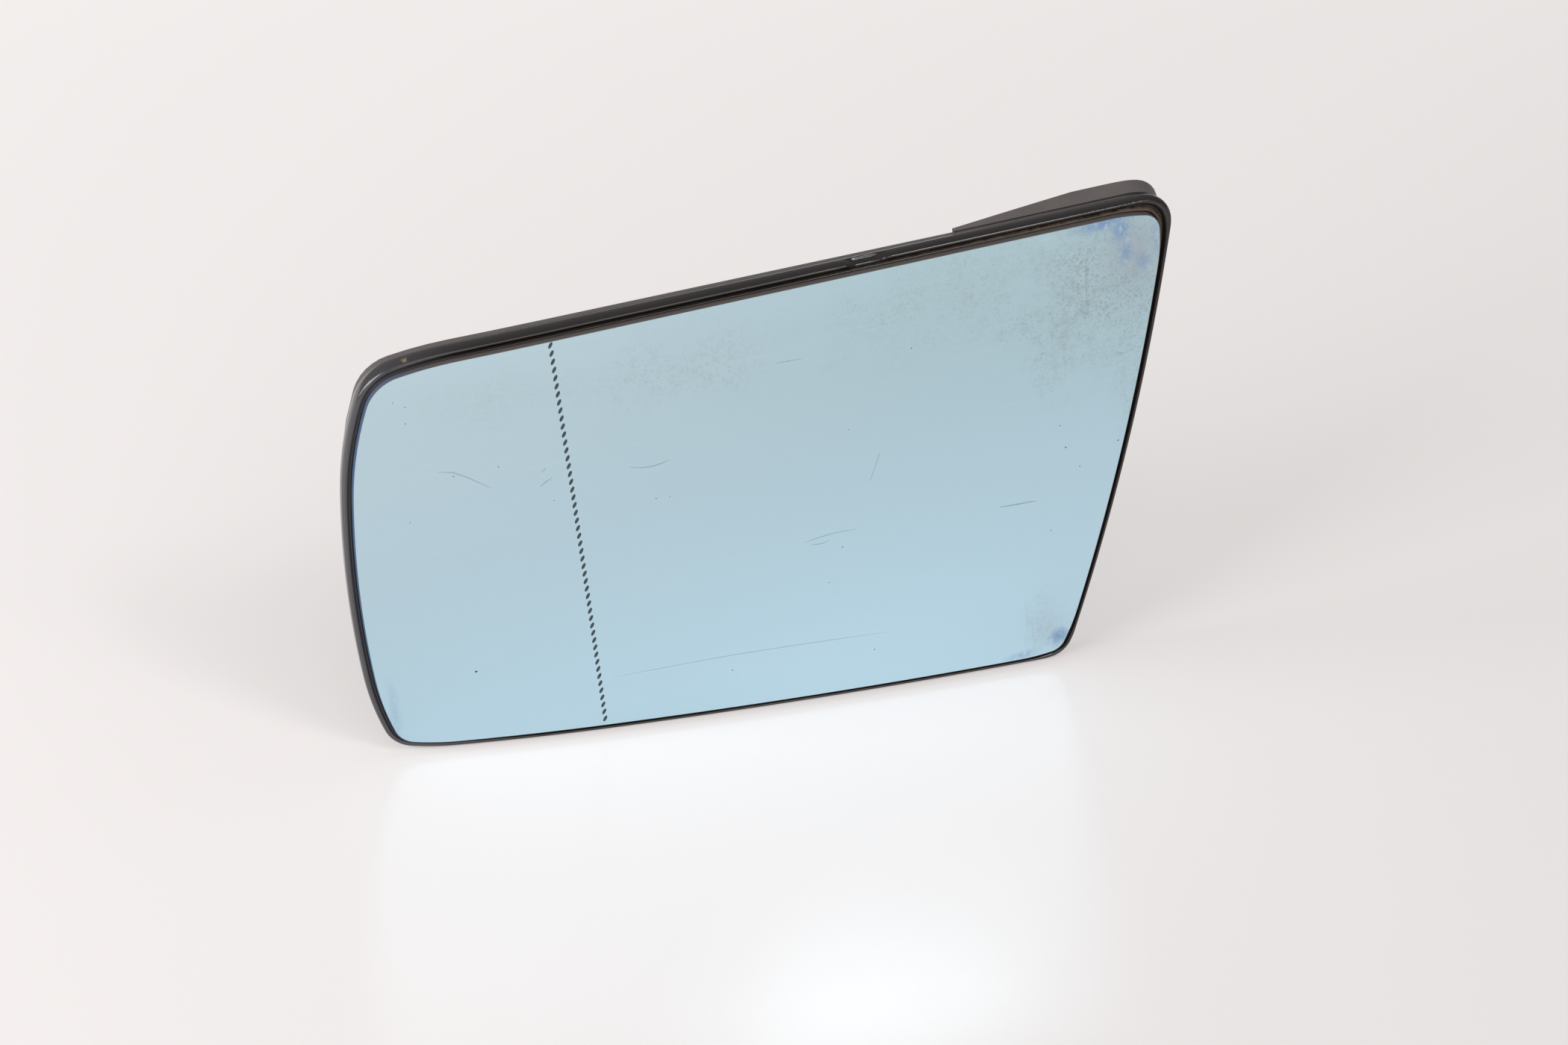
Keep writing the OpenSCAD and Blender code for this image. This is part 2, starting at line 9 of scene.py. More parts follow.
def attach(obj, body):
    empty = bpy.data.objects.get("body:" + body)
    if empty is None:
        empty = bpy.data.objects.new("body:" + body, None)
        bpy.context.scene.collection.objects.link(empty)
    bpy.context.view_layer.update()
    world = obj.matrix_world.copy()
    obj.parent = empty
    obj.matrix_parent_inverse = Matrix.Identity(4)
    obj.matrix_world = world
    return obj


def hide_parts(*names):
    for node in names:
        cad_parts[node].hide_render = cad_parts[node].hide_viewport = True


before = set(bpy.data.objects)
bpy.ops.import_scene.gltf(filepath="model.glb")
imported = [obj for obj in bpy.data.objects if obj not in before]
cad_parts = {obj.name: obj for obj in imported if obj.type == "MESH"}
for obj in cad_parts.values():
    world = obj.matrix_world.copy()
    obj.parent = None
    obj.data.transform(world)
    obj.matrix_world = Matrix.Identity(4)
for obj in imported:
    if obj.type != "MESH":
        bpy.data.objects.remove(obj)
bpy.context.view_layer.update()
MM = 0.001

# Outline of the glass, in millimetres: corner points, bulge of each edge, tightest radius of each
# corner and how much gentler it is where it opens. Outside the glass the inboard corners lose some
# of that for each millimetre, and the upper one reaches further.
# Order: upper outboard, upper inboard, lower inboard, lower outboard.
CORNERS = [(-88.8, 55.3), (97.9, 52.5), (65.6, -58.0), (-95.5, -39.1)]
BOWS = [1.8, 2.2, 0.25, 4.6]
CORNER_RADII = [10.6, 4.5, 4.3, 5.5]
CORNER_EASE = [72.0, 36.0, 48.0, 58.0]
EASE_LOSS = [0.0, 17.0, 20.0, 0.0]
EASED_SHARE = 0.12
CORNER_REACH = (0.3, 0.15)

# Optical surface, in millimetres: a sphere that turns into a tighter torus at the zone line. Its
# crown, where it stands furthest forward, lies at CROWN_Z and FRONT_Y.
MAIN_R = 1260.0
OUTER_R = 500.0
ZONE_LINE_X = -47.0
CROWN_Z = 6.0
FRONT_Y = -14.0
CENTRE_Y = MAIN_R + FRONT_Y
ZONE_TURN = math.asin(-ZONE_LINE_X / MAIN_R)


def arc_of(a, b, bow):
    """Centre and radius of the arc through two corner points with a bulge to the left of a-b."""
    a, b = np.array(a), np.array(b)
    half = np.linalg.norm(b - a) / 2
    radius = (half * half + bow * bow) / (2 * bow)
    along = (b - a) / (2 * half)
    outward = np.array([-along[1], along[0]])
    return (a + b) / 2 - outward * (radius - bow), radius


def unit(angle):
    return np.array([math.cos(angle), math.sin(angle)])


def angle_of(v):
    return math.atan2(v[1], v[0])


def outline(d, corner_steps, edge_steps):
    """Points of the outline at an offset d from the edge of the glass, clockwise on its front."""
    corners = [np.array(c) for c in CORNERS]
    corners[1] = corners[1] + np.array(CORNER_REACH) * max(d, 0)
    edges = [arc_of(corners[i], corners[(i + 1) % 4], BOWS[i]) for i in range(4)]
    edges = [(centre, radius + d) for centre, radius in edges]
    arcs = []
    for i in range(4):
        (e1, big1), (e2, big2) = edges[i - 1], edges[i]
        r, ease = CORNER_RADII[i] + d, max(CORNER_EASE[i] - EASE_LOSS[i] * max(d, 0), 0)
        first = angle_of(corners[i] - e1)
        turn = (first - angle_of(corners[i] - e2)) % (2 * math.pi)
        t1, t2 = first - EASED_SHARE * turn, first - (1 - EASED_SHARE) * turn
        c1, c2 = e1 + ease * unit(t1), e2 + ease * unit(t2)
        r1, r2 = big1 - r - ease, big2 - r - ease
        span = np.linalg.norm(c2 - c1)
        across = (c2 - c1) / span
        a = (r1 ** 2 - r2 ** 2 + span * span) / (2 * span)
        foot = c1 + across * a
        side = np.array([-across[1], across[0]]) * math.sqrt(r1 ** 2 - a * a)
        near = min((foot + side, foot - side), key=lambda p: np.linalg.norm(p - CORNERS[i]))
        g1, g2 = near - ease * unit(t1), near - ease * unit(t2)
        arcs.append([(g1, r + ease, angle_of(g1 - e1), t1, corner_steps // 4),
                     (near, r, t1, t2, corner_steps // 2),
                     (g2, r + ease, t2, angle_of(g2 - e2), corner_steps // 4)])
    points = []
    for i in range(4):
        runs = arcs[i] + [(*edges[i], arcs[i][2][3], arcs[(i + 1) % 4][0][2], edge_steps[i])]
        for centre, r, start, end, steps in runs:
            turn = (start - end) % (2 * math.pi)
            points += [centre + r * unit(start - turn * k / steps) for k in range(steps)]
    return np.array(points)


def face_y(x, z, t):
    """Y of the optical surface at a depth t behind the front of the glass."""
    level = z - CROWN_Z
    h = np.zeros_like(np.asarray(x, float))
    r = MAIN_R - t + h
    for _ in range(6):
        h = (x + np.sqrt(r * r - level * level) * math.sin(ZONE_TURN)) / math.cos(ZONE_TURN)
        inner = np.sqrt((MAIN_R - t) ** 2 - h * h)
        outer = MAIN_R - OUTER_R + np.sqrt((OUTER_R - t) ** 2 - np.minimum(h, 0) ** 2)
        r = np.where(h >= 0, inner, outer)
    high = np.sqrt(r * r - level * level)
    return CENTRE_Y - h * math.sin(ZONE_TURN) - high * math.cos(ZONE_TURN)


def on_depth(xz, t):
    """Points of a drawing in x and z, laid at a depth t, in metres."""
    return np.column_stack([xz[:, 0], face_y(xz[:, 0], xz[:, 1], t), xz[:, 1]]) * MM


def smooth_section(points, steps):
    """Rounded run through the points of a cross-section, which go once round."""
    p = np.array(points, float)
    run = []
    for i in range(len(p) - 1):
        a, b, c, e = p[max(i - 1, 0)], p[i], p[i + 1], p[min(i + 2, len(p) - 1)]
        for k in range(steps):
            u = k / steps
            run.append(0.5 * (2 * b + (c - a) * u + (2 * a - 5 * b + 4 * c - e) * u * u
                              + (3 * b - a - 3 * c + e) * u ** 3))
    return np.array(run + [p[-1]])


def new_piece(name, verts, faces, materials, face_materials=None, sharp_angle=40):
    """Mesh object at the origin, shaded smooth up to an angle between its faces."""
    mesh = bpy.data.meshes.new(name)
    mesh.from_pydata([tuple(v) for v in verts], [], faces)
    for material in materials:
        mesh.materials.append(material)
    if face_materials is not None:
        mesh.polygons.foreach_set("material_index", face_materials)
    piece = bpy.data.objects.new(name, mesh)
    bpy.context.scene.collection.objects.link(piece)
    mesh.shade_smooth()
    mesh.set_sharp_from_angle(angle=math.radians(sharp_angle))
    mesh.update()
    return piece


def ring_faces(rings, per_ring, closed):
    """Faces between rings of points, the last ring joined to the first if closed."""
    faces = []
    for i in range(rings if closed else rings - 1):
        a, b = i * per_ring, ((i + 1) % rings) * per_ring
        for j in range(per_ring):
            k = (j + 1) % per_ring
            faces.append((a + j, b + j, b + k, a + k))
    return faces


def linear(hex_colour):
    """sRGB hex to linear RGBA."""
    parts = [int(hex_colour[i:i + 2], 16) / 255 for i in (1, 3, 5)]
    parts = [c / 12.92 if c <= 0.04045 else ((c + 0.055) / 1.055) ** 2.4 for c in parts]
    return (*parts, 1.0)


def add(tree, kind, settings=None, inputs=None):
    """Adds a node. An input takes a value, a socket, or a node for its first output."""
    made = tree.nodes.new(kind)
    for key, value in (settings or {}).items():
        setattr(made, key, value)
    for key, value in (inputs or {}).items():
        socket = made.inputs[key]
        if isinstance(value, bpy.types.Node):
            value = next(o for o in value.outputs if o.enabled)
        if isinstance(value, bpy.types.NodeSocket):
            tree.links.new(value, socket)
        else:
            socket.default_value = value
    return made


def new_material(name):
    """Empty node material, with its Object coordinates turned into millimetres."""
    material = bpy.data.materials.new(name)
    material.use_nodes = True
    tree = material.node_tree
    tree.nodes.clear()
    place = add(tree, "ShaderNodeTexCoord")
    mm = add(tree, "ShaderNodeMapping", {"vector_type": "POINT"},
             {"Vector": place.outputs["Object"], "Scale": (1000, 1000, 1000)})
    return material, tree, mm


def finish_material(tree, shader):
    add(tree, "ShaderNodeOutputMaterial", None, {"Surface": shader})


# How much a noise breaks up the edge of a patch, and where a patch ends and where it is full, as
# its distance from the middle in half widths plus the broken up noise
RAGGEDNESS = 2.2
PATCH_END = 2.15
PATCH_FULL = 1.1


def soft_patches(tree, mm, places, ragged):
    """Strength of the strongest of some soft-edged patches, broken up by a noise."""
    total = None
    for x, z, reach_x, reach_z, strength in places:
        away = add(tree, "ShaderNodeVectorMath", {"operation": "SUBTRACT"}, {0: mm, 1: (x, 0, z)})
        scaled = add(tree, "ShaderNodeVectorMath", {"operation": "MULTIPLY"},
                     {0: away, 1: (1 / reach_x, 0, 1 / reach_z)})
        far = add(tree, "ShaderNodeVectorMath", {"operation": "LENGTH"}, {0: scaled})
        broken = add(tree, "ShaderNodeMath", {"operation": "MULTIPLY_ADD"},
                     {0: ragged, 1: RAGGEDNESS, 2: far})
        here = add(tree, "ShaderNodeMapRange", {"interpolation_type": "SMOOTHSTEP"},
                   {"Value": broken, "From Min": PATCH_END, "From Max": PATCH_FULL,
                    "To Max": strength})
        total = here if total is None else add(tree, "ShaderNodeMath", {"operation": "MAXIMUM"},
                                               {0: total, 1: here})
    return total


# Patches, in millimetres: x, z, half width, half height and strength. On the glass: grime, streaks
# of rain, milky haze and stains under the silver. On the rim: a pale fleck, a painted glint off a
# chip.
GRIMED = [(80, 38, 28, 28, 1.0), (88, 12, 10, 24, 0.4), (44, 44, 40, 14, 0.45),
          (-16, 43, 32, 12, 0.35), (-60, 45, 26, 10, 0.15), (60, -48, 7, 12, 0.35)]
STREAKED = [(77, 38, 4, 18, 0.7), (72, 24, 3, 14, 0.6), (57, -48, 4, 9, 0.6)]
MILKY = [(90, 43, 12, 14, 1.0), (62, -50, 8, 9, 0.25)]
STAINED = [(82, 52.5, 11, 2.6, 0.95), (86, 50, 4, 4, 0.95), (87, 44, 2.6, 4, 0.7),
           (91, 41, 2.6, 3, 0.6), (95, 46, 2, 9, 0.4), (64.6, -53, 4, 3.4, 1.0),
           (55, -55.5, 6, 1.6, 0.6), (-94, -30, 2, 12, 0.3)]
GLINT_FLECK = [(-78.4, 57.4, 1.2, 0.6, 1.0)]


# Silvered glass: float glass, bent to shape, silvered and painted on its back, blue tinted.
# To the eye: a cool mirror, greyed by speckled grime along its top and inboard sides, with soft
# blue stains where damp has got under the silver in the corners.
def silvered_glass():
    material, tree, mm = new_material("float_glass_silvered_blue")
    xyz = add(tree, "ShaderNodeSeparateXYZ", None, {"Vector": mm})
    # Grain of the grime: clouds of 12 mm, blots of 2 mm and specks of 0.6 mm
    clouds, blots, specks = [
        add(tree, "ShaderNodeTexNoise", None,
            {"Vector": mm, "Scale": 1 / size, "Detail": detail, "Roughness": 0.6})
        for size, detail in ((12.0, 5.0), (2.2, 5.0), (0.6, 2.0))]
    # Wiping left streaks 1 mm wide and 45 mm long, falling a little towards the car, and rain ran
    # down in streaks 0.7 mm wide
    streaks = []
    for tilt, scale in ((-5, (1 / 45, 1, 1)), (0, (1 / 0.7, 1, 1 / 9))):
        turned = add(tree, "ShaderNodeMapping", {"vector_type": "POINT"},
                     {"Vector": mm, "Rotation": (0, math.radians(tilt), 0), "Scale": scale})
        streaks.append(add(tree, "ShaderNodeTexNoise", None,
                           {"Vector": turned, "Scale": 1.0, "Detail": 3.0, "Roughness": 0.55}))

    # Tint, with painted reflection in it: a little greyer at the top, a little deeper inboard,
    # standing in for what the mirror reflects
    upper = add(tree, "ShaderNodeMapRange", {"interpolation_type": "SMOOTHSTEP"},
                {"Value": xyz.outputs["Z"], "From Min": -40, "From Max": 56})
    inboard = add(tree, "ShaderNodeMapRange", {"interpolation_type": "SMOOTHSTEP"},
                  {"Value": xyz.outputs["X"], "From Min": -97, "From Max": 97})
    tints_with_reflection = [add(tree, "ShaderNodeMix", {"data_type": "RGBA"},
                 {0: upper, 6: linear(low), 7: linear(high)})
             for low, high in (("#B3D0DE", "#B6CDD7"), ("#B7D5E4", "#AAC5CE"))]
    colour = add(tree, "ShaderNodeMix", {"data_type": "RGBA"},
                 {0: inboard, 6: tints_with_reflection[0], 7: tints_with_reflection[1]})

    # Each layer: how much of it, what breaks it up and where that starts and is full, its colour
    film = soft_patches(tree, mm, GRIMED, clouds)
    ran = soft_patches(tree, mm, STREAKED, clouds)
    layers = [(film, clouds, 0.25, 0.6, 0.42, "#A6BABF"),
              (film, blots, 0.44, 0.7, 0.45, "#8FA0A3"),
              (film, specks, 0.5, 0.72, 0.6, "#7E8D8F"),
              (ran, streaks[1], 0.48, 0.7, 0.45, "#8F9C9A"),
              (1.0, streaks[0], 0.5, 0.8, 0.1, "#C4D8DE"),
              (soft_patches(tree, mm, MILKY, blots), blots, 0.2, 0.6, 0.8, "#9FABB5"),
              (soft_patches(tree, mm, STAINED, blots), blots, 0.3, 0.52, 0.9, "#7395C0")]
    for amount, broken, start, full, strength, hue in layers:
        share = add(tree, "ShaderNodeMapRange", {"interpolation_type": "SMOOTHSTEP"},
                    {"Value": broken, "From Min": start, "From Max": full, "To Max": strength})
        share = add(tree, "ShaderNodeMath", {"operation": "MULTIPLY"}, {0: share, 1: amount})
        colour = add(tree, "ShaderNodeMix", {"data_type": "RGBA"},
                     {0: share, 6: colour, 7: linear(hue)})

    rough = add(tree, "ShaderNodeMath", {"operation": "MULTIPLY_ADD"}, {0: film, 1: 0.14, 2: 0.05})
    shader = add(tree, "ShaderNodeBsdfPrincipled", None,
                 {"Base Color": colour, "Roughness": rough, "Metallic": 1.0,
                  "Coat Weight": 0.3, "Coat Roughness": 0.04, "Coat IOR": 1.5})
    finish_material(tree, shader)
    return material


# Ground glass: the edge is belt ground and left matte. To the eye: a thin line, dull with grime,
# which turns blue on the outboard side: a painted reflection of the mirror's tint in the bevel.
def ground_glass():
    material, tree, mm = new_material("float_glass_belt_ground")
    xyz = add(tree, "ShaderNodeSeparateXYZ", None, {"Vector": mm})
    outboard = add(tree, "ShaderNodeMapRange", {"interpolation_type": "SMOOTHSTEP"},
                   {"Value": xyz.outputs["X"], "From Min": -70, "From Max": -96})
    colour = add(tree, "ShaderNodeMix", {"data_type": "RGBA"},
                 {0: outboard, 6: linear("#4B4643"), 7: linear("#3B4F6C")})
    grit = add(tree, "ShaderNodeTexNoise", None, {"Vector": mm, "Scale": 1 / 0.3, "Detail": 3.0})
    bump = add(tree, "ShaderNodeBump", None, {"Height": grit, "Strength": 0.4, "Distance": 0.0001})
    shader = add(tree, "ShaderNodeBsdfPrincipled", None,
                 {"Base Color": colour.outputs[2], "Roughness": 0.65, "IOR": 1.52, "Normal": bump})
    finish_material(tree, shader)
    return material


# Protective paint over the silver, rolled on. To the eye: flat dark grey, only seen through vents.
def back_paint():
    material, tree, mm = new_material("silvering_paint_grey")
    mottle = add(tree, "ShaderNodeTexNoise", None, {"Vector": mm, "Scale": 1 / 2.5, "Detail": 4.0})
    colour = add(tree, "ShaderNodeMix", {"data_type": "RGBA"},
                 {0: mottle, 6: linear("#4A4C4E"), 7: linear("#5A5C5D")})
    shader = add(tree, "ShaderNodeBsdfPrincipled", None,
                 {"Base Color": colour.outputs[2], "Roughness": 0.6})
    finish_material(tree, shader)
    return material


# Marks lasered out of the silver. To the eye: the dark paint behind, a little blue.
def bared_marks():
    material, tree, mm = new_material("silver_lasered_away")
    mottle = add(tree, "ShaderNodeTexNoise", None, {"Vector": mm, "Scale": 1 / 0.6, "Detail": 2.0})
    colour = add(tree, "ShaderNodeMix", {"data_type": "RGBA"},
                 {0: mottle, 6: linear("#1B2D33"), 7: linear("#2E464C")})
    shader = add(tree, "ShaderNodeBsdfPrincipled", None,
                 {"Base Color": colour.outputs[2], "Roughness": 0.35, "IOR": 1.5})
    finish_material(tree, shader)
    return material


# Scratched float glass: scoured by dry wiping. To the eye: thin grey-blue lines.
def scratched_glass():
    material, tree, mm = new_material("float_glass_scratched")
    broken = add(tree, "ShaderNodeTexNoise", None, {"Vector": mm, "Scale": 1 / 1.2, "Detail": 3.0})
    colour = add(tree, "ShaderNodeMix", {"data_type": "RGBA"},
                 {0: broken, 6: linear("#7E9AA4"), 7: linear("#A9C3CD")})
    shader = add(tree, "ShaderNodeBsdfPrincipled", None,
                 {"Base Color": colour.outputs[2], "Roughness": 0.3, "Metallic": 0.7})
    finish_material(tree, shader)
    return material


# Road grit, dried on. To the eye: dark dots.
def stuck_grit():
    material, tree, mm = new_material("road_grit_brown")
    broken = add(tree, "ShaderNodeTexNoise", None, {"Vector": mm, "Scale": 1 / 0.4, "Detail": 3.0})
    colour = add(tree, "ShaderNodeMix", {"data_type": "RGBA"},
                 {0: broken, 6: linear("#141F22"), 7: linear("#2E3B3D")})
    shader = add(tree, "ShaderNodeBsdfPrincipled", None,
                 {"Base Color": colour.outputs[2], "Roughness": 0.8})
    finish_material(tree, shader)
    return material


# Rim: ABS, moulded against a polished tool. To the eye: black gone grey, paler outboard from dust
# and a painted sheen, with a soft sheen on the bead painted paler along its crown, brown grime
# dried on the lip and in the groove, one pale fleck painted as a glint, and small glinting nicks
# inboard.
def glossy_rim():
    material, tree, mm = new_material("abs_moulded_glossy_black")
    strip = add(tree, "ShaderNodeUVMap", {"uv_map": "section"})
    across = add(tree, "ShaderNodeSeparateXYZ", None, {"Vector": strip}).outputs["Y"]
    xyz = add(tree, "ShaderNodeSeparateXYZ", None, {"Vector": mm})
    mottle, patches, peel = [
        add(tree, "ShaderNodeTexNoise", None,
            {"Vector": mm, "Scale": 1 / size, "Detail": detail, "Roughness": 0.6})
        for size, detail in ((1.6, 5.0), (18.0, 3.0), (0.9, 2.0))]
    # Grime, from where it starts to where it is full: across the section, inboard, up and in spots
    amount = 1.0
    for value, start, full, low, high in ((across, 0.3, 0.12, 0.0, 0.9),
                                          (xyz.outputs["X"], 0, 75, 0.08, 1.0),
                                          (xyz.outputs["Z"], 0, 50, 0.3, 1.0),
                                          (mottle, 0.36, 0.6, 0.3, 1.0)):
        share = add(tree, "ShaderNodeMapRange", {"interpolation_type": "SMOOTHSTEP"},
                    {"Value": value, "From Min": start, "From Max": full,
                     "To Min": low, "To Max": high})
        amount = add(tree, "ShaderNodeMath", {"operation": "MULTIPLY"}, {0: share, 1: amount})
    plain = add(tree, "ShaderNodeMix", {"data_type": "RGBA"},
                {0: patches, 6: linear("#191514"), 7: linear("#262120")})
    # Paler bluish grey outboard: dust, and a painted sheen from the lamp on that side
    dust_and_sheen_outboard = add(tree, "ShaderNodeMapRange", {"interpolation_type": "SMOOTHSTEP"},
                {"Value": xyz.outputs["X"], "From Min": -60, "From Max": -92, "To Max": 0.85})
    plain = add(tree, "ShaderNodeMix", {"data_type": "RGBA"},
                {0: dust_and_sheen_outboard, 6: plain, 7: linear("#464549")})
    # The bead is painted a paler grey along its crown: a painted sheen where its highlight lies
    crown_sheen = add(tree, "ShaderNodeMapRange", {"interpolation_type": "SMOOTHSTEP"},
                 {"Value": across, "From Min": 0.42, "From Max": 0.56, "To Max": 0.35})
    sheened_rim = add(tree, "ShaderNodeMix", {"data_type": "RGBA"},
               {0: crown_sheen, 6: plain, 7: linear("#2C2A2A")})
    colour = add(tree, "ShaderNodeMix", {"data_type": "RGBA"},
                 {0: amount, 6: sheened_rim, 7: linear("#4E4136")})
    # A pale warm fleck on the outboard bead: a painted glint
    painted_glint = soft_patches(tree, mm, GLINT_FLECK, mottle)
    colour = add(tree, "ShaderNodeMix", {"data_type": "RGBA"},
                 {0: painted_glint, 6: colour, 7: linear("#DDBB8C")})
    rough = add(tree, "ShaderNodeMapRange", None,
                {"Value": amount, "To Min": 0.14, "To Max": 0.75})
    nicked = add(tree, "ShaderNodeMapRange", {"interpolation_type": "SMOOTHSTEP"},
                 {"Value": xyz.outputs["X"], "From Min": 72, "From Max": 90,
                  "To Min": 0.00001, "To Max": 0.0002})
    bump = add(tree, "ShaderNodeBump", None, {"Height": peel, "Strength": 0.5, "Distance": nicked})
    shader = add(tree, "ShaderNodeBsdfPrincipled", None,
                 {"Base Color": colour, "Roughness": rough, "IOR": 1.53, "Normal": bump})
    finish_material(tree, shader)
    return material


# Carrier plate: ABS, moulded against a spark-eroded tool. To the eye: matte black with a fine
# grain, weathered to a brownish grey where it faces up, partly painted light from above, with
# paler rubbed patches.
def grained_plate():
    material, tree, mm = new_material("abs_moulded_grained_black")
    facing = add(tree, "ShaderNodeNewGeometry")
    up = add(tree, "ShaderNodeSeparateXYZ", None, {"Vector": facing.outputs["Normal"]})
    # Faces that point up take the paler colour: weathering, and partly painted light from above
    weathered_and_toplit = add(tree, "ShaderNodeMapRange", {"interpolation_type": "SMOOTHSTEP"},
                    {"Value": up.outputs["Z"], "From Min": 0.0, "From Max": 0.9})
    # Depth behind the front of the glass: the wall is painted darker for 1.5 mm behind the rim as
    # shade under the bead, and the skirt faded up to it
    xyz = add(tree, "ShaderNodeSeparateXYZ", None, {"Vector": mm})
    away = add(tree, "ShaderNodeVectorMath", {"operation": "SUBTRACT"},
               {0: mm, 1: (0, 0, CROWN_Z)})
    away = add(tree, "ShaderNodeVectorMath", {"operation": "MULTIPLY"}, {0: away, 1: (1, 0, 1)})
    away = add(tree, "ShaderNodeVectorMath", {"operation": "DOT_PRODUCT"}, {0: away, 1: away})
    depth = add(tree, "ShaderNodeMath", {"operation": "MULTIPLY_ADD"},
                {0: away.outputs["Value"], 1: -0.5 / MAIN_R, 2: xyz.outputs["Y"]})
    out_of_rim_shade = add(tree, "ShaderNodeMapRange", {"interpolation_type": "SMOOTHSTEP"},
                {"Value": depth, "From Min": FRONT_Y + 5.3, "From Max": FRONT_Y + 6.8,
                 "To Min": 0.25})
    skirt = add(tree, "ShaderNodeMapRange", {"interpolation_type": "SMOOTHSTEP"},
                {"Value": xyz.outputs["X"], "From Min": 46, "From Max": 50})
    out_of_rim_shade = add(tree, "ShaderNodeMath", {"operation": "MAXIMUM"}, {0: out_of_rim_shade, 1: skirt})
    weathered_and_toplit = add(tree, "ShaderNodeMath", {"operation": "MULTIPLY"}, {0: weathered_and_toplit, 1: out_of_rim_shade})
    patches = add(tree, "ShaderNodeTexNoise", None,
                  {"Vector": mm, "Scale": 1 / 7, "Detail": 6.0, "Roughness": 0.65})
    grain = add(tree, "ShaderNodeTexNoise", None, {"Vector": mm, "Scale": 1 / 0.35, "Detail": 2.0})
    fresh = add(tree, "ShaderNodeMix", {"data_type": "RGBA"},
                {0: patches, 6: linear("#232222"), 7: linear("#322F2E")})
    faded = add(tree, "ShaderNodeMix", {"data_type": "RGBA"},
                {0: patches, 6: linear("#524C4B"), 7: linear("#6D6564")})
    colour = add(tree, "ShaderNodeMix", {"data_type": "RGBA"},
                 {0: weathered_and_toplit, 6: fresh.outputs[2], 7: faded.outputs[2]})
    bump = add(tree, "ShaderNodeBump", None,
               {"Height": grain, "Strength": 0.5, "Distance": 0.0001})
    shader = add(tree, "ShaderNodeBsdfPrincipled", None,
                 {"Base Color": colour.outputs[2], "Roughness": 0.58, "IOR": 1.53, "Normal": bump})
    finish_material(tree, shader)
    return material


# Heater foil: polyester film with etched conductors under it. To the eye: satin grey with the
# paler loops of the conductors, 3 mm apart.
def heater_foil():
    material, tree, mm = new_material("polyester_foil_printed")
    loops = add(tree, "ShaderNodeTexWave", {"wave_type": "BANDS", "bands_direction": "Z"},
                {"Vector": mm, "Scale": 1 / 3, "Distortion": 0.6, "Detail": 1.0})
    lines = add(tree, "ShaderNodeMapRange", {"interpolation_type": "SMOOTHSTEP"},
                {"Value": loops, "From Min": 0.6, "From Max": 0.75})
    colour = add(tree, "ShaderNodeMix", {"data_type": "RGBA"},
                 {0: lines, 6: linear("#4C4E52"), 7: linear("#85878A")})
    shader = add(tree, "ShaderNodeBsdfPrincipled", None,
                 {"Base Color": colour.outputs[2], "Roughness": 0.4, "IOR": 1.6})
    finish_material(tree, shader)
    return material


# Spring wire: drawn steel, zinc plated. To the eye: satin silver with fine lines along it.
def zinc_wire():
    material, tree, mm = new_material("spring_steel_zinc_plated")
    lines = add(tree, "ShaderNodeTexNoise", None, {"Vector": mm, "Scale": 1 / 0.5, "Detail": 3.0})
    colour = add(tree, "ShaderNodeMix", {"data_type": "RGBA"},
                 {0: lines, 6: linear("#A9A9A4"), 7: linear("#CBCBC6")})
    rough = add(tree, "ShaderNodeMapRange", None,
                {"Value": lines, "From Min": 0.3, "From Max": 0.7, "To Min": 0.28, "To Max": 0.42})
    shader = add(tree, "ShaderNodeBsdfPrincipled", None,
                 {"Base Color": colour.outputs[2], "Roughness": rough, "Metallic": 1.0})
    finish_material(tree, shader)
    return material


# Plug tabs: brass strip, rolled, tinned and stamped. To the eye: pale dull metal with a rolled
# grain along it and some yellow brass in its cut edges.
def tinned_strip():
    material, tree, mm = new_material("brass_strip_tinned")
    rolled = add(tree, "ShaderNodeMapping", None, {"Vector": mm, "Scale": (4, 0.4, 4)})
    grain = add(tree, "ShaderNodeTexNoise", None, {"Vector": rolled, "Scale": 1.0, "Detail": 4.0})
    colour = add(tree, "ShaderNodeMix", {"data_type": "RGBA"},
                 {0: grain, 6: linear("#B9B6A8"), 7: linear("#D8D5C8")})
    rough = add(tree, "ShaderNodeMapRange", None,
                {"Value": grain, "From Min": 0.3, "From Max": 0.7, "To Min": 0.3, "To Max": 0.45})
    shader = add(tree, "ShaderNodeBsdfPrincipled", None,
                 {"Base Color": colour.outputs[2], "Roughness": rough, "Metallic": 1.0})
    finish_material(tree, shader)
    return material


# Rivets: drawn brass tube, rolled over. To the eye: yellow metal, dulled in its hollow.
def rolled_brass():
    material, tree, mm = new_material("brass_tube_rolled")
    tarnish = add(tree, "ShaderNodeTexNoise", None,
                  {"Vector": mm, "Scale": 1 / 1.2, "Detail": 4.0})
    colour = add(tree, "ShaderNodeMix", {"data_type": "RGBA"},
                 {0: tarnish, 6: linear("#A8884A"), 7: linear("#D9BC78")})
    shader = add(tree, "ShaderNodeBsdfPrincipled", None,
                 {"Base Color": colour.outputs[2], "Roughness": 0.35, "Metallic": 1.0})
    finish_material(tree, shader)
    return material


# Edge of the glass, in millimetres: offset and depth behind its front. The ring just inside the
# bevel keeps the reflection true up to it. Front and back lie 0.01 mm inside the CAD glass.
GLASS_EDGE = [(-0.24, 0.01), (-0.18, 0.01), (-0.06, 0.05), (0.0, 0.18), (0.0, 1.8), (-0.18, 1.99)]
FRONT_RINGS, BACK_RINGS = 24, 8


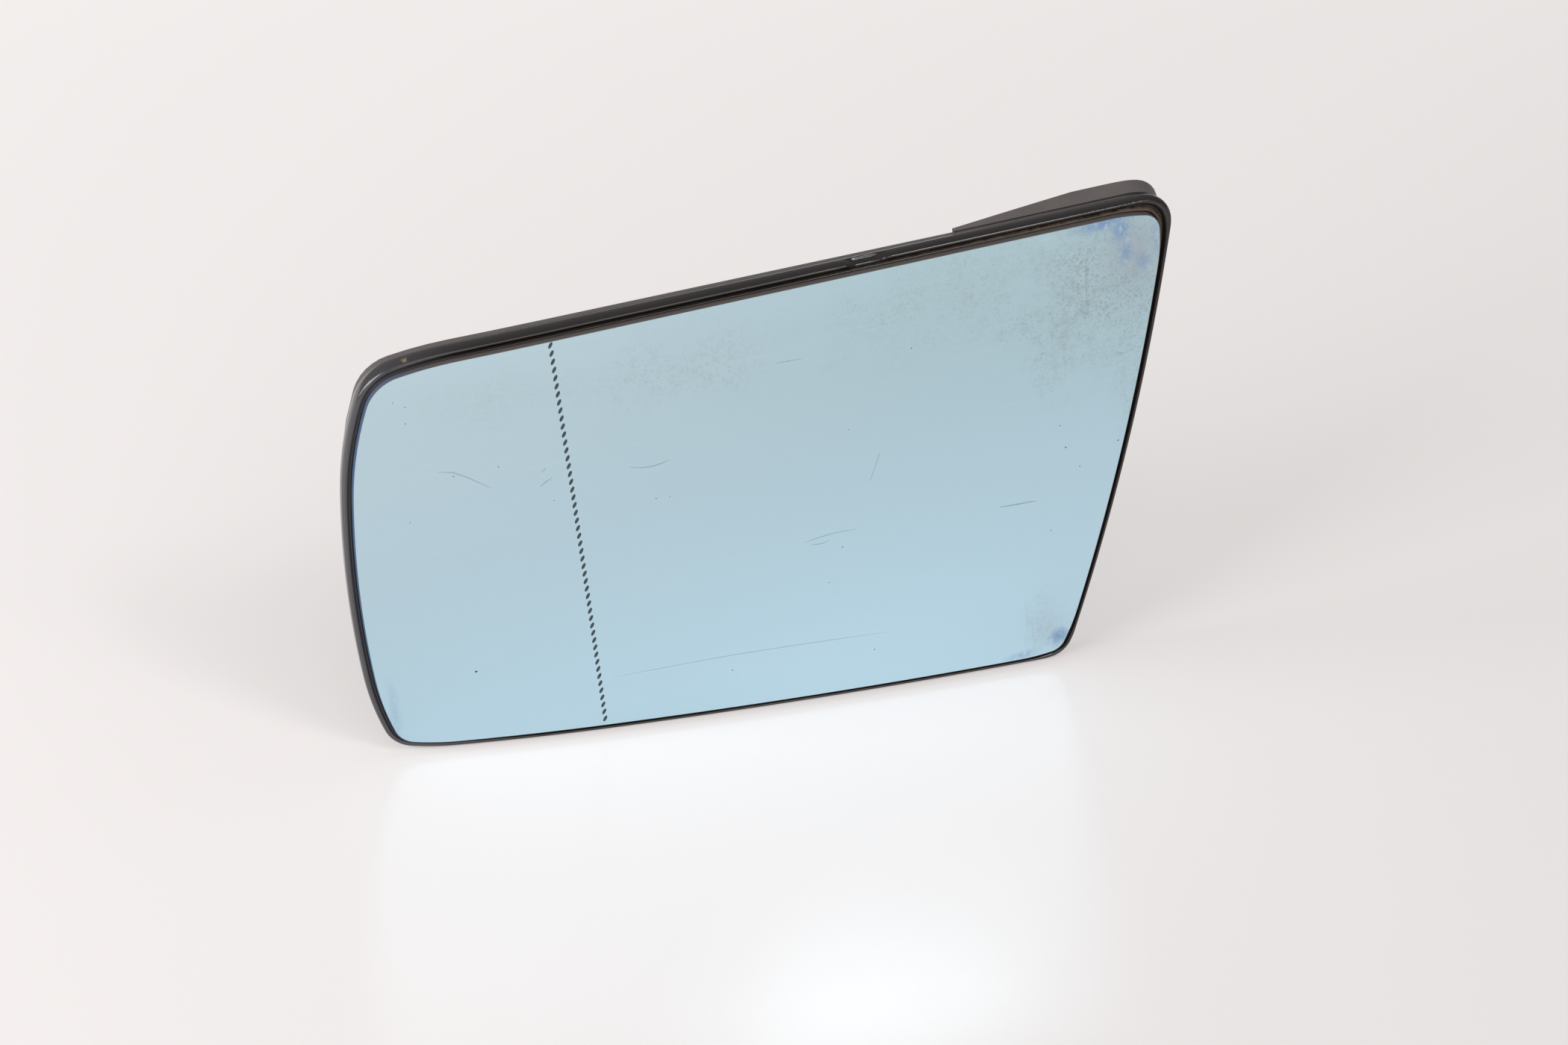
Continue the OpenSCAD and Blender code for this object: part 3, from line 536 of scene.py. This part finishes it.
# Mirror glass: bent sheet with a ground bevel on both edges
def make_glass(front, edge, back):
    steps = (28, [90, 60, 80, 60])
    (front_d, front_t), (back_d, back_t) = GLASS_EDGE[0], GLASS_EDGE[-1]
    front_lines = [on_depth(outline(front_d, *steps) * s, front_t)
                   for s in np.linspace(0, 1, FRONT_RINGS + 2)[1:-1]]
    edge_lines = [on_depth(outline(d, *steps), t) for d, t in GLASS_EDGE]
    back_lines = [on_depth(outline(back_d, *steps) * s, back_t)
                  for s in np.linspace(1, 0, BACK_RINGS + 2)[1:-1]]
    lines = front_lines + edge_lines + back_lines
    per_ring = len(lines[0])
    centre = np.zeros((1, 2))
    verts = np.vstack(lines + [on_depth(centre, front_t), on_depth(centre, back_t)])
    faces = [face[::-1] for face in ring_faces(len(lines), per_ring, False)]
    kinds = []
    for i in range(len(lines) - 1):
        kind = 0 if i <= FRONT_RINGS else 1 if i < FRONT_RINGS + len(GLASS_EDGE) - 1 else 2
        kinds += [kind] * per_ring
    first, last = len(verts) - 2, (len(lines) - 1) * per_ring
    for j in range(per_ring):
        k = (j + 1) % per_ring
        faces += [(first, k, j), (last + j, last + k, len(verts) - 1)]
        kinds += [0, 2]
    return new_piece("glass_sheet", verts, faces, [front, edge, back], kinds)


# Section of the rim, in millimetres: offset from the edge of the glass, depth behind its front,
# and how much deeper and how much nearer to the glass it is at the outboard end. The run from the
# lip to the seat is rounded, the seat is flat.
RIM_SECTION = [(0.12, 1.7, 0, 0), (0.14, 1.5, 0, 0), (0.24, 1.38, 0, 0), (0.4, 1.42, 0, 0.12),
               (0.55, 1.75, 0, 0.22), (0.66, 2.3, 0, 0.28), (0.78, 2.45, 0, 0.32),
               (0.9, 2.2, 0, 0.36), (1.05, 1.7, 0, 0.38), (1.26, 1.36, 0, 0.36),
               (1.5, 1.22, 0, 0.28), (1.74, 1.3, 0, 0.12), (1.93, 1.6, 0, 0), (2.04, 2.1, 0, 0),
               (2.07, 2.8, 0.1, 0), (2.03, 3.5, 0.3, 0), (1.9, 4.2, 0.45, 0),
               (1.75, 4.75, 0.58, 0), (1.7, 4.94, 0.6, 0)]
RIM_SEAT = [(1.68, 4.95, 0.6, 0), (0.13, 4.95, 0.6, 0), (0.12, 4.85, 0.6, 0)]


# The rim gets deeper from this x on over this length, and its outboard end begins at this x and is
# fully formed after this length. There dust nearly fills the groove: this share of what lies below
# this depth, out to this offset.
DEEPER_FROM, DEEPER_OVER = 48.6, 135
END_FROM, END_OVER = -60, 30
DUST_SHARE, DUST_DEPTH, DUST_END = 0.8, 1.6, 1.1

# Dent in the upper run of the bead: middle, half length and size of its scoop and of the fold
# beside it, and how far a size of 1 goes back and down. Across the section it begins at the inner
# offset and is full at the outer one, and is full above the upper depth and ends at the lower one.
SCOOP_X, SCOOP_HALF, SCOOP_SIZE = 26.0, 4.2, 1.0
FOLD_X, FOLD_HALF, FOLD_SIZE = 20.9, 0.9, 0.3
DENT_BACK, DENT_DOWN = 0.9, 0.75
DENT_INNER, DENT_OUTER = 0.95, 1.45
DENT_UPPER, DENT_LOWER = 2.7, 3.9


def make_rim(material):
    run = np.vstack([smooth_section(RIM_SECTION, 3), RIM_SEAT])
    steps = (32, [300, 90, 90, 90])
    rings = []
    for d, t, deeper, nearer in run:
        line = outline(d, *steps)
        share = np.clip((DEEPER_FROM - line[:, 0]) / DEEPER_OVER, 0, 1)
        end = np.clip((END_FROM - line[:, 0]) / END_OVER, 0, 1)[:, None]
        line = line + (outline(d - nearer, *steps) - line) * end
        filled = max(t - DUST_DEPTH, 0) * DUST_SHARE * end[:, 0] if d < DUST_END else 0
        rings.append(on_depth(line, t + deeper * share - filled))
    laid = np.array(rings)
    upper = laid[:, :, 2] > 40 * MM
    scoop = np.exp(-((laid[:, :, 0] / MM - SCOOP_X) / SCOOP_HALF) ** 6) * upper
    fold = np.exp(-((laid[:, :, 0] / MM - FOLD_X) / FOLD_HALF) ** 2) * upper
    across = np.clip((run[:, 0] - DENT_INNER) / (DENT_OUTER - DENT_INNER), 0, 1)
    across *= np.clip((DENT_LOWER - run[:, 1]) / (DENT_LOWER - DENT_UPPER), 0, 1)
    dent = (scoop * SCOOP_SIZE - fold * FOLD_SIZE) * across[:, None] * MM
    laid[:, :, 1] += dent * DENT_BACK
    laid[:, :, 2] -= dent * DENT_DOWN
    count, per_ring = len(run), laid.shape[1]
    verts = laid.transpose(1, 0, 2).reshape(-1, 3)
    length = np.concatenate([[0], np.cumsum(np.linalg.norm(np.diff(run[:, :2], axis=0), axis=1))])
    length /= length[-len(RIM_SEAT)]
    faces, uvs = [], []
    for j in range(per_ring):
        k = (j + 1) % per_ring
        for i in range(count):
            n = (i + 1) % count
            faces.append((j * count + i, k * count + i, k * count + n, j * count + n))
            high = length[n] if n else length[-1]
            uvs += [(j / per_ring, length[i]), ((j + 1) / per_ring, length[i]),
                    ((j + 1) / per_ring, high), (j / per_ring, high)]
    piece = new_piece("rim_moulding", verts, faces, [material], sharp_angle=60)
    layer = piece.data.uv_layers.new(name="section")
    layer.data.foreach_set("uv", np.array(uvs).ravel())
    return piece


def arc_between(centre, r, start, end, steps):
    return [centre + r * unit(a) for a in np.radians(np.linspace(start, end, steps + 1))]


def rounded(a, b, c, r, steps):
    """Arc that rounds the corner b of a path a, b, c."""
    u, v = (a - b) / np.linalg.norm(a - b), (c - b) / np.linalg.norm(c - b)
    half = math.acos(max(-1, min(1, float(u @ v)))) / 2
    middle = (u + v) / np.linalg.norm(u + v)
    centre = b + middle * r / math.sin(half)
    first, last = b + u * r / math.tan(half) - centre, b + v * r / math.tan(half) - centre
    start = math.degrees(angle_of(first))
    turn = (math.degrees(angle_of(last)) - start + 540) % 360 - 180
    return arc_between(centre, r, start, start + turn, steps)


# Retaining wire, in millimetres and degrees: its diameter and place, the ring and where it ends,
# a flat and where it meets the ring, a tail with its hook, and the bends between them
WIRE_D = 1.8
WIRE_Y = -3.5
RING_R, RING_END = 33.2, 75.5
FLAT_X, FLAT_HALF, FLAT_TURN = 30.2, 5.2, 13.6
TAIL_TURN, TAIL_LENGTH, HOOK_LENGTH = 82, 14.0, 5.0
FLAT_BEND, TAIL_BEND, HOOK_BEND = 1.2, 3.0, 1.5


def wire_path():
    """Centre line of the retaining wire, in x and z: a ring with two flats and two tails."""
    upper = arc_between(np.zeros(2), RING_R, 90, FLAT_TURN, 30)
    lower = arc_between(np.zeros(2), RING_R, -FLAT_TURN, -RING_END, 26)
    root = RING_R * unit(math.radians(-TAIL_TURN))
    tail = root - np.array([0, TAIL_LENGTH])
    hook = tail + np.array([HOOK_LENGTH, 0])
    high, low = np.array([FLAT_X, FLAT_HALF]), np.array([FLAT_X, -FLAT_HALF])
    half = upper[:-1]
    for a, b, c in ((upper[-2], upper[-1], high), (upper[-1], high, low),
                    (high, low, lower[0]), (low, lower[0], lower[1])):
        half += rounded(a, b, c, FLAT_BEND, 5)
    half += lower[1:]
    half += rounded(lower[-1], root, tail, TAIL_BEND, 9)
    half += rounded(root, tail, hook, HOOK_BEND, 8)
    half.append(hook)
    return [np.array([-p[0], p[1]]) for p in half[:0:-1]] + half


def modifier_value(modifier, tree, name, value):
    """Sets an input of a Geometry Nodes modifier by its socket's identifier."""
    for item in tree.interface.items_tree:
        if item.item_type == "SOCKET" and item.in_out == "INPUT" and item.name == name:
            modifier[item.identifier] = value


def baked(source, name):
    """Plain mesh object of what the source's modifier makes. The source is removed."""
    bpy.context.view_layer.update()
    evaluated = source.evaluated_get(bpy.context.evaluated_depsgraph_get())
    mesh = bpy.data.meshes.new_from_object(evaluated)
    mesh.name = name
    source.modifiers.clear()
    bpy.data.objects.remove(source)
    piece = bpy.data.objects.new(name, mesh)
    bpy.context.scene.collection.objects.link(piece)
    return piece


def make_wire(material):
    tree = bpy.data.node_groups.new("drawn_wire", "GeometryNodeTree")
    face = tree.interface
    face.new_socket("Geometry", in_out="INPUT", socket_type="NodeSocketGeometry")
    face.new_socket("Wire Diameter", in_out="INPUT", socket_type="NodeSocketFloat")
    face.new_socket("Sides", in_out="INPUT", socket_type="NodeSocketInt")
    face.new_socket("Material", in_out="INPUT", socket_type="NodeSocketMaterial")
    face.new_socket("Geometry", in_out="OUTPUT", socket_type="NodeSocketGeometry")
    given = add(tree, "NodeGroupInput")
    radius = add(tree, "ShaderNodeMath", {"operation": "MULTIPLY"},
                 {0: given.outputs["Wire Diameter"], 1: 0.5})
    circle = add(tree, "GeometryNodeCurvePrimitiveCircle", {"mode": "RADIUS"},
                 {"Resolution": given.outputs["Sides"], "Radius": radius})
    swept = add(tree, "GeometryNodeCurveToMesh", None,
                {"Curve": given.outputs["Geometry"], "Profile Curve": circle.outputs["Curve"],
                 "Fill Caps": True})
    smooth = add(tree, "GeometryNodeSetShadeSmooth", None, {"Geometry": swept})
    real = add(tree, "GeometryNodeRealizeInstances", None, {"Geometry": smooth})
    coated = add(tree, "GeometryNodeSetMaterial", None,
                 {"Geometry": real, "Material": given.outputs["Material"]})
    add(tree, "NodeGroupOutput", None, {"Geometry": coated})
    curve = bpy.data.curves.new("wire_line", "CURVE")
    curve.dimensions = "3D"
    path = wire_path()
    line = curve.splines.new("POLY")
    line.points.add(len(path) - 1)
    for point, (x, z) in zip(line.points, path):
        point.co = (x * MM, WIRE_Y * MM, z * MM, 1)
    source = bpy.data.objects.new("wire_line", curve)
    bpy.context.scene.collection.objects.link(source)
    modifier = source.modifiers.new("drawn_wire", "NODES")
    modifier.node_group = tree
    modifier_value(modifier, tree, "Wire Diameter", WIRE_D * MM)
    modifier_value(modifier, tree, "Sides", 20)
    modifier_value(modifier, tree, "Material", material)
    return baked(source, "spring_wire")


# Dotted line between the two viewing zones: 50 slanted dashes, 2 mm apart
def make_marks(material):
    tree = bpy.data.node_groups.new("zone_line_marks", "GeometryNodeTree")
    face = tree.interface
    face.new_socket("Geometry", in_out="INPUT", socket_type="NodeSocketGeometry")
    face.new_socket("Marks", in_out="INPUT", socket_type="NodeSocketInt")
    for name in ("Pitch", "Top", "Line X", "Mark Width", "Mark Length", "Slant", "Lift",
                 "Surface Radius", "Crown Y", "Crown Z"):
        face.new_socket(name, in_out="INPUT", socket_type="NodeSocketFloat")
    face.new_socket("Material", in_out="INPUT", socket_type="NodeSocketMaterial")
    face.new_socket("Geometry", in_out="OUTPUT", socket_type="NodeSocketGeometry")
    given = add(tree, "NodeGroupInput").outputs

    start = add(tree, "ShaderNodeCombineXYZ", None, {"X": given["Line X"], "Z": given["Top"]})
    down = add(tree, "ShaderNodeMath", {"operation": "MULTIPLY"}, {0: given["Pitch"], 1: -1.0})
    step = add(tree, "ShaderNodeCombineXYZ", None, {"Z": down})
    line = add(tree, "GeometryNodeMeshLine", {"mode": "OFFSET"},
               {"Count": given["Marks"], "Start Location": start, "Offset": step})
    # One mark: a thin rounded tablet, its length turned by the slant
    tablet = add(tree, "GeometryNodeMeshCylinder", {"fill_type": "NGON"},
                 {"Vertices": 14, "Radius": 0.5, "Depth": 0.00002})
    size = add(tree, "ShaderNodeCombineXYZ", None,
               {"X": given["Mark Width"], "Y": given["Mark Length"], "Z": 1.0})
    sized = add(tree, "GeometryNodeTransform", None,
                {"Geometry": tablet.outputs["Mesh"], "Scale": size})
    upright = add(tree, "ShaderNodeCombineXYZ", None,
                  {"X": math.pi / 2, "Y": given["Slant"]})
    placed = add(tree, "GeometryNodeTransform", None, {"Geometry": sized, "Rotation": upright})
    copies = add(tree, "GeometryNodeInstanceOnPoints", None, {"Points": line, "Instance": placed})
    real = add(tree, "GeometryNodeRealizeInstances", None, {"Geometry": copies})
    # Each corner is moved on to the sphere of the glass, whose middle lies behind its crown
    at = add(tree, "GeometryNodeInputPosition")
    crown = add(tree, "ShaderNodeCombineXYZ", None, {"Z": given["Crown Z"]})
    flat = add(tree, "ShaderNodeVectorMath", {"operation": "SUBTRACT"}, {0: at, 1: crown})
    far = add(tree, "ShaderNodeVectorMath", {"operation": "LENGTH"}, {0: flat})
    share = add(tree, "ShaderNodeMath", {"operation": "DIVIDE"},
                {0: far, 1: given["Surface Radius"]})
    turn = add(tree, "ShaderNodeMath", {"operation": "ARCSINE"}, {0: share})
    height = add(tree, "ShaderNodeMath", {"operation": "COSINE"}, {0: turn})
    drop = add(tree, "ShaderNodeMath", {"operation": "SUBTRACT"}, {0: 1.0, 1: height})
    back = add(tree, "ShaderNodeMath", {"operation": "MULTIPLY_ADD"},
               {0: drop, 1: given["Surface Radius"], 2: given["Crown Y"]})
    rise = add(tree, "ShaderNodeMath", {"operation": "SUBTRACT"}, {0: back, 1: given["Lift"]})
    moved = add(tree, "ShaderNodeCombineXYZ", None, {"Y": rise})
    laid = add(tree, "GeometryNodeSetPosition", None, {"Geometry": real, "Offset": moved})
    again = add(tree, "GeometryNodeRealizeInstances", None, {"Geometry": laid})
    coated = add(tree, "GeometryNodeSetMaterial", None,
                 {"Geometry": again, "Material": given["Material"]})
    add(tree, "NodeGroupOutput", None, {"Geometry": coated})
    source = bpy.data.objects.new("marks_source", bpy.data.meshes.new("marks_source"))
    bpy.context.scene.collection.objects.link(source)
    modifier = source.modifiers.new("zone_line_marks", "NODES")
    modifier.node_group = tree
    values = {"Marks": 50, "Pitch": 2.0 * MM, "Top": 54.95 * MM, "Line X": ZONE_LINE_X * MM,
              "Mark Width": 0.7 * MM, "Mark Length": 1.65 * MM, "Slant": math.radians(33),
              "Lift": 0.03 * MM, "Surface Radius": MAIN_R * MM, "Crown Y": FRONT_Y * MM,
              "Crown Z": CROWN_Z * MM, "Material": material}
    for name, value in values.items():
        modifier_value(modifier, tree, name, value)
    return baked(source, "zone_line_marks")


# Scratches, as runs of points in x and z with a width, in millimetres
SCRATCHES = [
    ([(-75.6, 29.9), (-72.6, 29.2), (-69.6, 27.4), (-66.8, 25.2), (-64.4, 23.4)], 0.2),
    ([(-33.6, 21.4), (-31.2, 20.6), (-28.6, 20.3), (-26.4, 20.5), (-24.4, 20.9)], 0.22),
    ([(-54.0, 21.4), (-52.6, 22.2), (-51.0, 23.0)], 0.18),
    ([(-53.4, 24.8), (-52.0, 25.6)], 0.16),
    ([(51.6, -12.6), (55.0, -13.0), (58.4, -13.3), (61.0, -13.6)], 0.3),
    ([(21.0, 3.2), (22.4, 6.2), (24.0, 10.0)], 0.12),
    ([(4.0, -8.6), (8.0, -8.1), (12.0, -8.0), (17.0, -8.4)], 0.12),
    ([(5.6, -9.6), (8.4, -9.9), (10.0, -9.4)], 0.14),
    ([(-44.0, -32.2), (-20.0, -33.6), (0.0, -35.6), (22.0, -38.4)], 0.1),
    ([(2.0, 38.6), (5.0, 38.4), (8.4, 38.2)], 0.12),
]
# Grit: x, z and size in millimetres
GRIT = [(-74.5, -22.8, 0.6), (69.0, -1.5, 0.42), (68.0, 4.6, 0.3), (82.2, -3.5, 0.4),
        (-16.0, -38.1, 0.35), (18.4, -42.4, 0.3), (13.0, -12.2, 0.32), (33.8, 34.2, 0.3),
        (-72.4, 28.2, 0.3), (-62.4, 28.4, 0.28), (-28.6, 12.0, 0.28), (-25.4, 11.6, 0.24),
        (72.2, -7.6, 0.28), (-83.4, 18.8, 0.22), (17.2, 17.8, 0.22), (9.0, -20.8, 0.25),
        (64.0, -22.6, 0.3), (-51.4, 17.2, 0.24), (-82.6, 48.6, 0.22), (-80.2, 47.1, 0.26),
        (-80.7, 43.1, 0.3)]


# How far a scratch, and the shoulder and top of a grain of grit, stand out of the glass to show
SCRATCH_LIFT = 0.012
GRIT_SHOULDER, GRIT_TOP = 0.06, 0.08
GRIT_SIDES = 8


def make_scratches(material):
    verts, faces = [], []
    for points, width in SCRATCHES:
        run = smooth_section(points, 6)
        tangent = np.gradient(run, axis=0)
        tangent /= np.linalg.norm(tangent, axis=1)[:, None]
        side = np.column_stack([-tangent[:, 1], tangent[:, 0]])
        taper = np.sin(np.linspace(0.12, math.pi - 0.12, len(run)))[:, None] * width / 2
        base = len(verts)
        verts += list(np.vstack([on_depth(run + side * taper, -SCRATCH_LIFT),
                                 on_depth(run - side * taper, -SCRATCH_LIFT)]))
        n = len(run)
        faces += [(base + i, base + i + 1, base + n + i + 1, base + n + i) for i in range(n - 1)]
    return new_piece("scratches", verts, faces, [material])


def make_grit(material):
    verts, faces, n = [], [], GRIT_SIDES
    for index, (x, z, size) in enumerate(GRIT):
        base = len(verts)
        angles = np.linspace(0, 2 * math.pi, n + 1)[:-1] + index
        reach = size / 2 * (1 + 0.25 * np.sin(angles * 3 + index))
        ring = np.column_stack([x + reach * np.cos(angles), z + reach * 0.8 * np.sin(angles)])
        inner = np.array([x, z]) + (ring - np.array([x, z])) * 0.6
        verts += list(np.vstack([on_depth(ring, 0.0), on_depth(inner, -GRIT_SHOULDER),
                                 on_depth(np.array([[x, z]]), -GRIT_TOP)]))
        for i in range(n):
            k = (i + 1) % n
            faces += [(base + i, base + n + i, base + n + k, base + k),
                      (base + n + i, base + 2 * n, base + n + k)]
    return new_piece("grit", verts, faces, [material])


# Camera: 85 mm lens, 31 degrees above the square view of the glass and 14 degrees outboard of it
def make_camera():
    above, beside, roll = math.radians(31), math.radians(14), math.radians(-6.46)
    back = Vector((-math.sin(beside) * math.cos(above), -math.cos(beside) * math.cos(above),
                   math.sin(above)))
    level = (-back).cross(Vector((0, 0, 1))).normalized()
    top = level.cross(-back)
    right = math.cos(roll) * level + math.sin(roll) * top
    up = math.cos(roll) * top - math.sin(roll) * level
    target, distance = Vector((-0.1, FRONT_Y, -1.9)) * MM, 839 * MM
    place = target + distance * back
    data = bpy.data.cameras.new("camera")
    data.lens, data.sensor_width, data.sensor_fit = 85, 36, "HORIZONTAL"
    camera = bpy.data.objects.new("camera", data)
    bpy.context.scene.collection.objects.link(camera)
    turned = Matrix((right, up, back)).transposed().to_4x4()
    camera.matrix_world = Matrix.Translation(place) @ turned
    bpy.context.scene.camera = camera


# How far below the lower inboard corner of the glass the rim stands on the table, in millimetres,
# and how far the table reaches to each side, in metres
RIM_FOOT = 2.35
TABLE_REACH = 6.0


# White laminate, pressed against a polished plate. To the eye: a pale, softly shining table top,
# turned so that the lower edge of the mirror stands on it.
def make_floor():
    (right_x, right_z), (left_x, left_z) = CORNERS[2], CORNERS[3]
    slope = (right_z - left_z) / (right_x - left_x)
    material, tree, mm = new_material("table_laminate_white")
    path = add(tree, "ShaderNodeLightPath").outputs
    seen = add(tree, "ShaderNodeMath", {"operation": "MAXIMUM"},
               {0: path["Is Camera Ray"], 1: path["Is Glossy Ray"]})
    seen = add(tree, "ShaderNodeMath", {"operation": "MAXIMUM"},
               {0: seen, 1: path["Is Transmission Ray"]})
    # The table is painted paler from 0.2 m in front of the mirror to 0.6 m behind it: painted
    # light standing in for lamp light that falls off towards the back
    xyz = add(tree, "ShaderNodeSeparateXYZ", None, {"Vector": mm})
    far = add(tree, "ShaderNodeMapRange", None,
              {"Value": xyz.outputs["Y"], "From Min": -200, "From Max": 600,
               "To Min": 0.8, "To Max": 1.72})
    seen = add(tree, "ShaderNodeMath", {"operation": "MULTIPLY"}, {0: seen, 1: far})
    shader = add(tree, "ShaderNodeBsdfPrincipled", None,
                 {"Base Color": linear("#B9B5B4"), "Roughness": 0.22, "IOR": 1.45,
                  "Emission Color": linear("#A4A1A0"), "Emission Strength": seen})
    finish_material(tree, shader)
    reach = TABLE_REACH
    corners = [(-reach, -reach), (reach, -reach), (reach, reach), (-reach, reach)]
    low = right_z - RIM_FOOT
    verts = [(x, y, low * MM + slope * (x - right_x * MM)) for x, y in corners]
    mesh = bpy.data.meshes.new("floor")
    mesh.from_pydata(verts, [], [(0, 1, 2, 3)])
    mesh.materials.append(material)
    floor = bpy.data.objects.new("floor", mesh)
    bpy.context.scene.collection.objects.link(floor)


def make_lamp(name, place, width, height, power):
    """Softbox that points at the glass."""
    data = bpy.data.lights.new(name, "AREA")
    data.shape, data.size, data.size_y, data.energy = "RECTANGLE", width, height, power
    lamp = bpy.data.objects.new(name, data)
    lamp.location = place
    lamp.rotation_euler = (-Vector(place)).to_track_quat("-Z", "Y").to_euler()
    bpy.context.scene.collection.objects.link(lamp)


def make_world():
    world = bpy.data.worlds.new("studio")
    world.use_nodes = True
    tree = world.node_tree
    tree.nodes.clear()
    path = add(tree, "ShaderNodeLightPath").outputs
    seen = add(tree, "ShaderNodeMath", {"operation": "MAXIMUM"},
               {0: path["Is Camera Ray"], 1: path["Is Transmission Ray"]})
    room = add(tree, "ShaderNodeBackground", None, {"Color": (1, 1, 1, 1), "Strength": 0.22})
    backdrop = add(tree, "ShaderNodeBackground", None,
                   {"Color": linear("#EDE9E8"), "Strength": 1.0})
    shader = add(tree, "ShaderNodeMixShader", None, {0: seen, 1: room, 2: backdrop})
    add(tree, "ShaderNodeOutputWorld", None, {"Surface": shader})
    bpy.context.scene.world = world


make_camera()
make_floor()
make_world()
make_lamp("front_softbox", (0.26, -1.05, 0.66), 1.3, 1.3, 8.6)
make_lamp("left_softbox", (-0.85, -0.5, 0.62), 0.5, 0.5, 8.5)
make_lamp("right_softbox", (0.43, -0.7, 0.76), 0.25, 0.25, 2.4)
make_lamp("side_strip", (-0.98, 0.03, 0.5), 0.3, 0.5, 4.5)
bpy.context.scene.view_settings.view_transform = "Standard"

glass = make_glass(silvered_glass(), ground_glass(), back_paint())
rim = make_rim(glossy_rim())
wire = make_wire(zinc_wire())
marks = make_marks(bared_marks())
scratches = make_scratches(scratched_glass())
grit = make_grit(stuck_grit())
for piece in (glass, rim, wire, marks, scratches, grit):
    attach(piece, "root")
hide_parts("mirror_glass")
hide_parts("rim")
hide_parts("retaining_wire")

for name, material in (("carrier_plate", grained_plate()), ("heater_pad", heater_foil()),
                       ("terminal_upper", tinned_strip()), ("terminal_lower", tinned_strip()),
                       ("terminal_rivets", rolled_brass())):
    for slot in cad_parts[name].material_slots:
        slot.material = material
